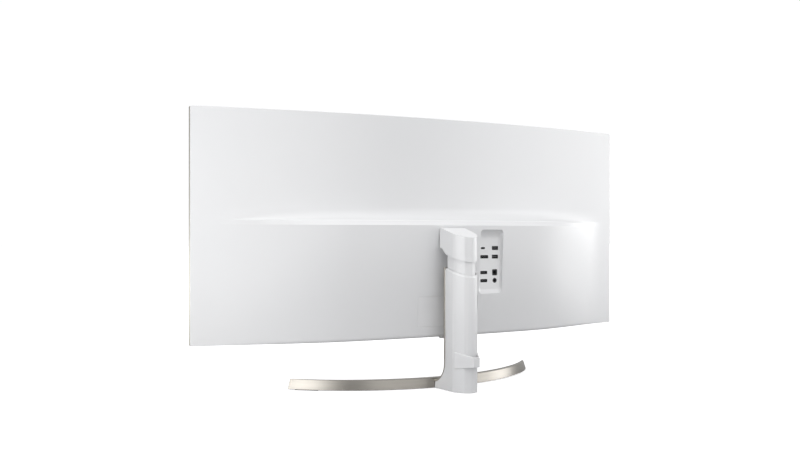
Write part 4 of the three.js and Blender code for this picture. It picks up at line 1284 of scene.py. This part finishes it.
class Surround(NodeTree):
    """The studio walls: white on camera, even on matt surfaces, and shaped by direction in reflections."""

    def __init__(self):
        world = bpy.data.worlds.new("studio")
        bpy.context.scene.world = world
        world.use_nodes = True
        world.cycles.sampling_method = "NONE"
        super().__init__(world.node_tree)
        self.nodes.clear()

    def fade(self, angle, start, end, level):
        """The level up to a start angle, falling softly to nothing at the end angle, in degrees."""
        return self.ramp(angle, math.radians(start), math.radians(end), level, 0.0, "SMOOTHSTEP")

    def reflected(self):
        """Bright walls round the object, a dim gap between them and a plain ceiling."""
        way = self.node("ShaderNodeSeparateXYZ")
        self.feed(way.inputs[0], self.node("ShaderNodeTexCoord").outputs["Generated"])
        bearing = self.math("ARCTAN2", way.outputs[0], way.outputs[1])
        height = self.math("ARCSINE", way.outputs[2])
        total = self.math("ADD", self.fade(height, 10, 60, GAP_GLOW - CEILING_GLOW), CEILING_GLOW)
        for middle, half_width, soft, level, top in WALLS:
            away = self.math("ABSOLUTE", self.math("SUBTRACT", bearing, math.radians(middle)))
            glow = self.fade(away, half_width, half_width + soft, level)
            low = self.fade(height, top / 4, top, 1.0)
            total = self.math("ADD", total, self.math("MULTIPLY", glow, low))
        return total

    def finish(self, backdrop, ambient):
        path = self.node("ShaderNodeLightPath")
        strength = self.mix(path.outputs["Is Glossy Ray"], ambient, self.reflected(), "FLOAT")
        strength = self.mix(path.outputs["Is Camera Ray"], strength, backdrop, "FLOAT")
        sky = self.node("ShaderNodeBackground")
        self.feed(sky.inputs["Color"], (0.99, 0.995, 1.0, 1.0))
        self.feed(sky.inputs["Strength"], strength)
        out = self.node("ShaderNodeOutputWorld")
        self.feed(out.inputs["Surface"], sky.outputs[0])


def camera():
    data = bpy.data.cameras.new("camera")
    data.sensor_width = 36
    data.lens = CAMERA_LENS
    made = bpy.data.objects.new("camera", data)
    forward = Vector((-math.sin(CAMERA_YAW), -math.cos(CAMERA_YAW), 0))
    made.location = CAMERA_AT
    made.rotation_mode = "QUATERNION"
    made.rotation_quaternion = forward.to_track_quat("-Z", "Y")
    bpy.context.scene.collection.objects.link(made)
    bpy.context.scene.camera = made


floor()
Surround().finish(backdrop=1.02, ambient=0.77)
softbox("rear_top", (0, 1.1, 1.5), (0, 0.33, 0.2), (1.6, 0.8), 0.8)
softbox("overhead", (0, 0.12, 1.5), (0, 0.0, 0.3), (1.5, 0.5), 2.3)
softbox("far_left", (1.9, 0.3, 1.0), (0, 0, 0.2), (0.85, 0.8), 0.2)
softbox("fill_left", (0.85, 0.22, 0.33), (0.45, -0.1, 0.3), (0.5, 0.5), 2.0)
softbox("fill_right", (-0.75, 0.35, 0.3), (-0.45, -0.1, 0.3), (0.4, 0.4), 1.0)
camera()
bpy.context.scene.view_settings.view_transform = "Standard"
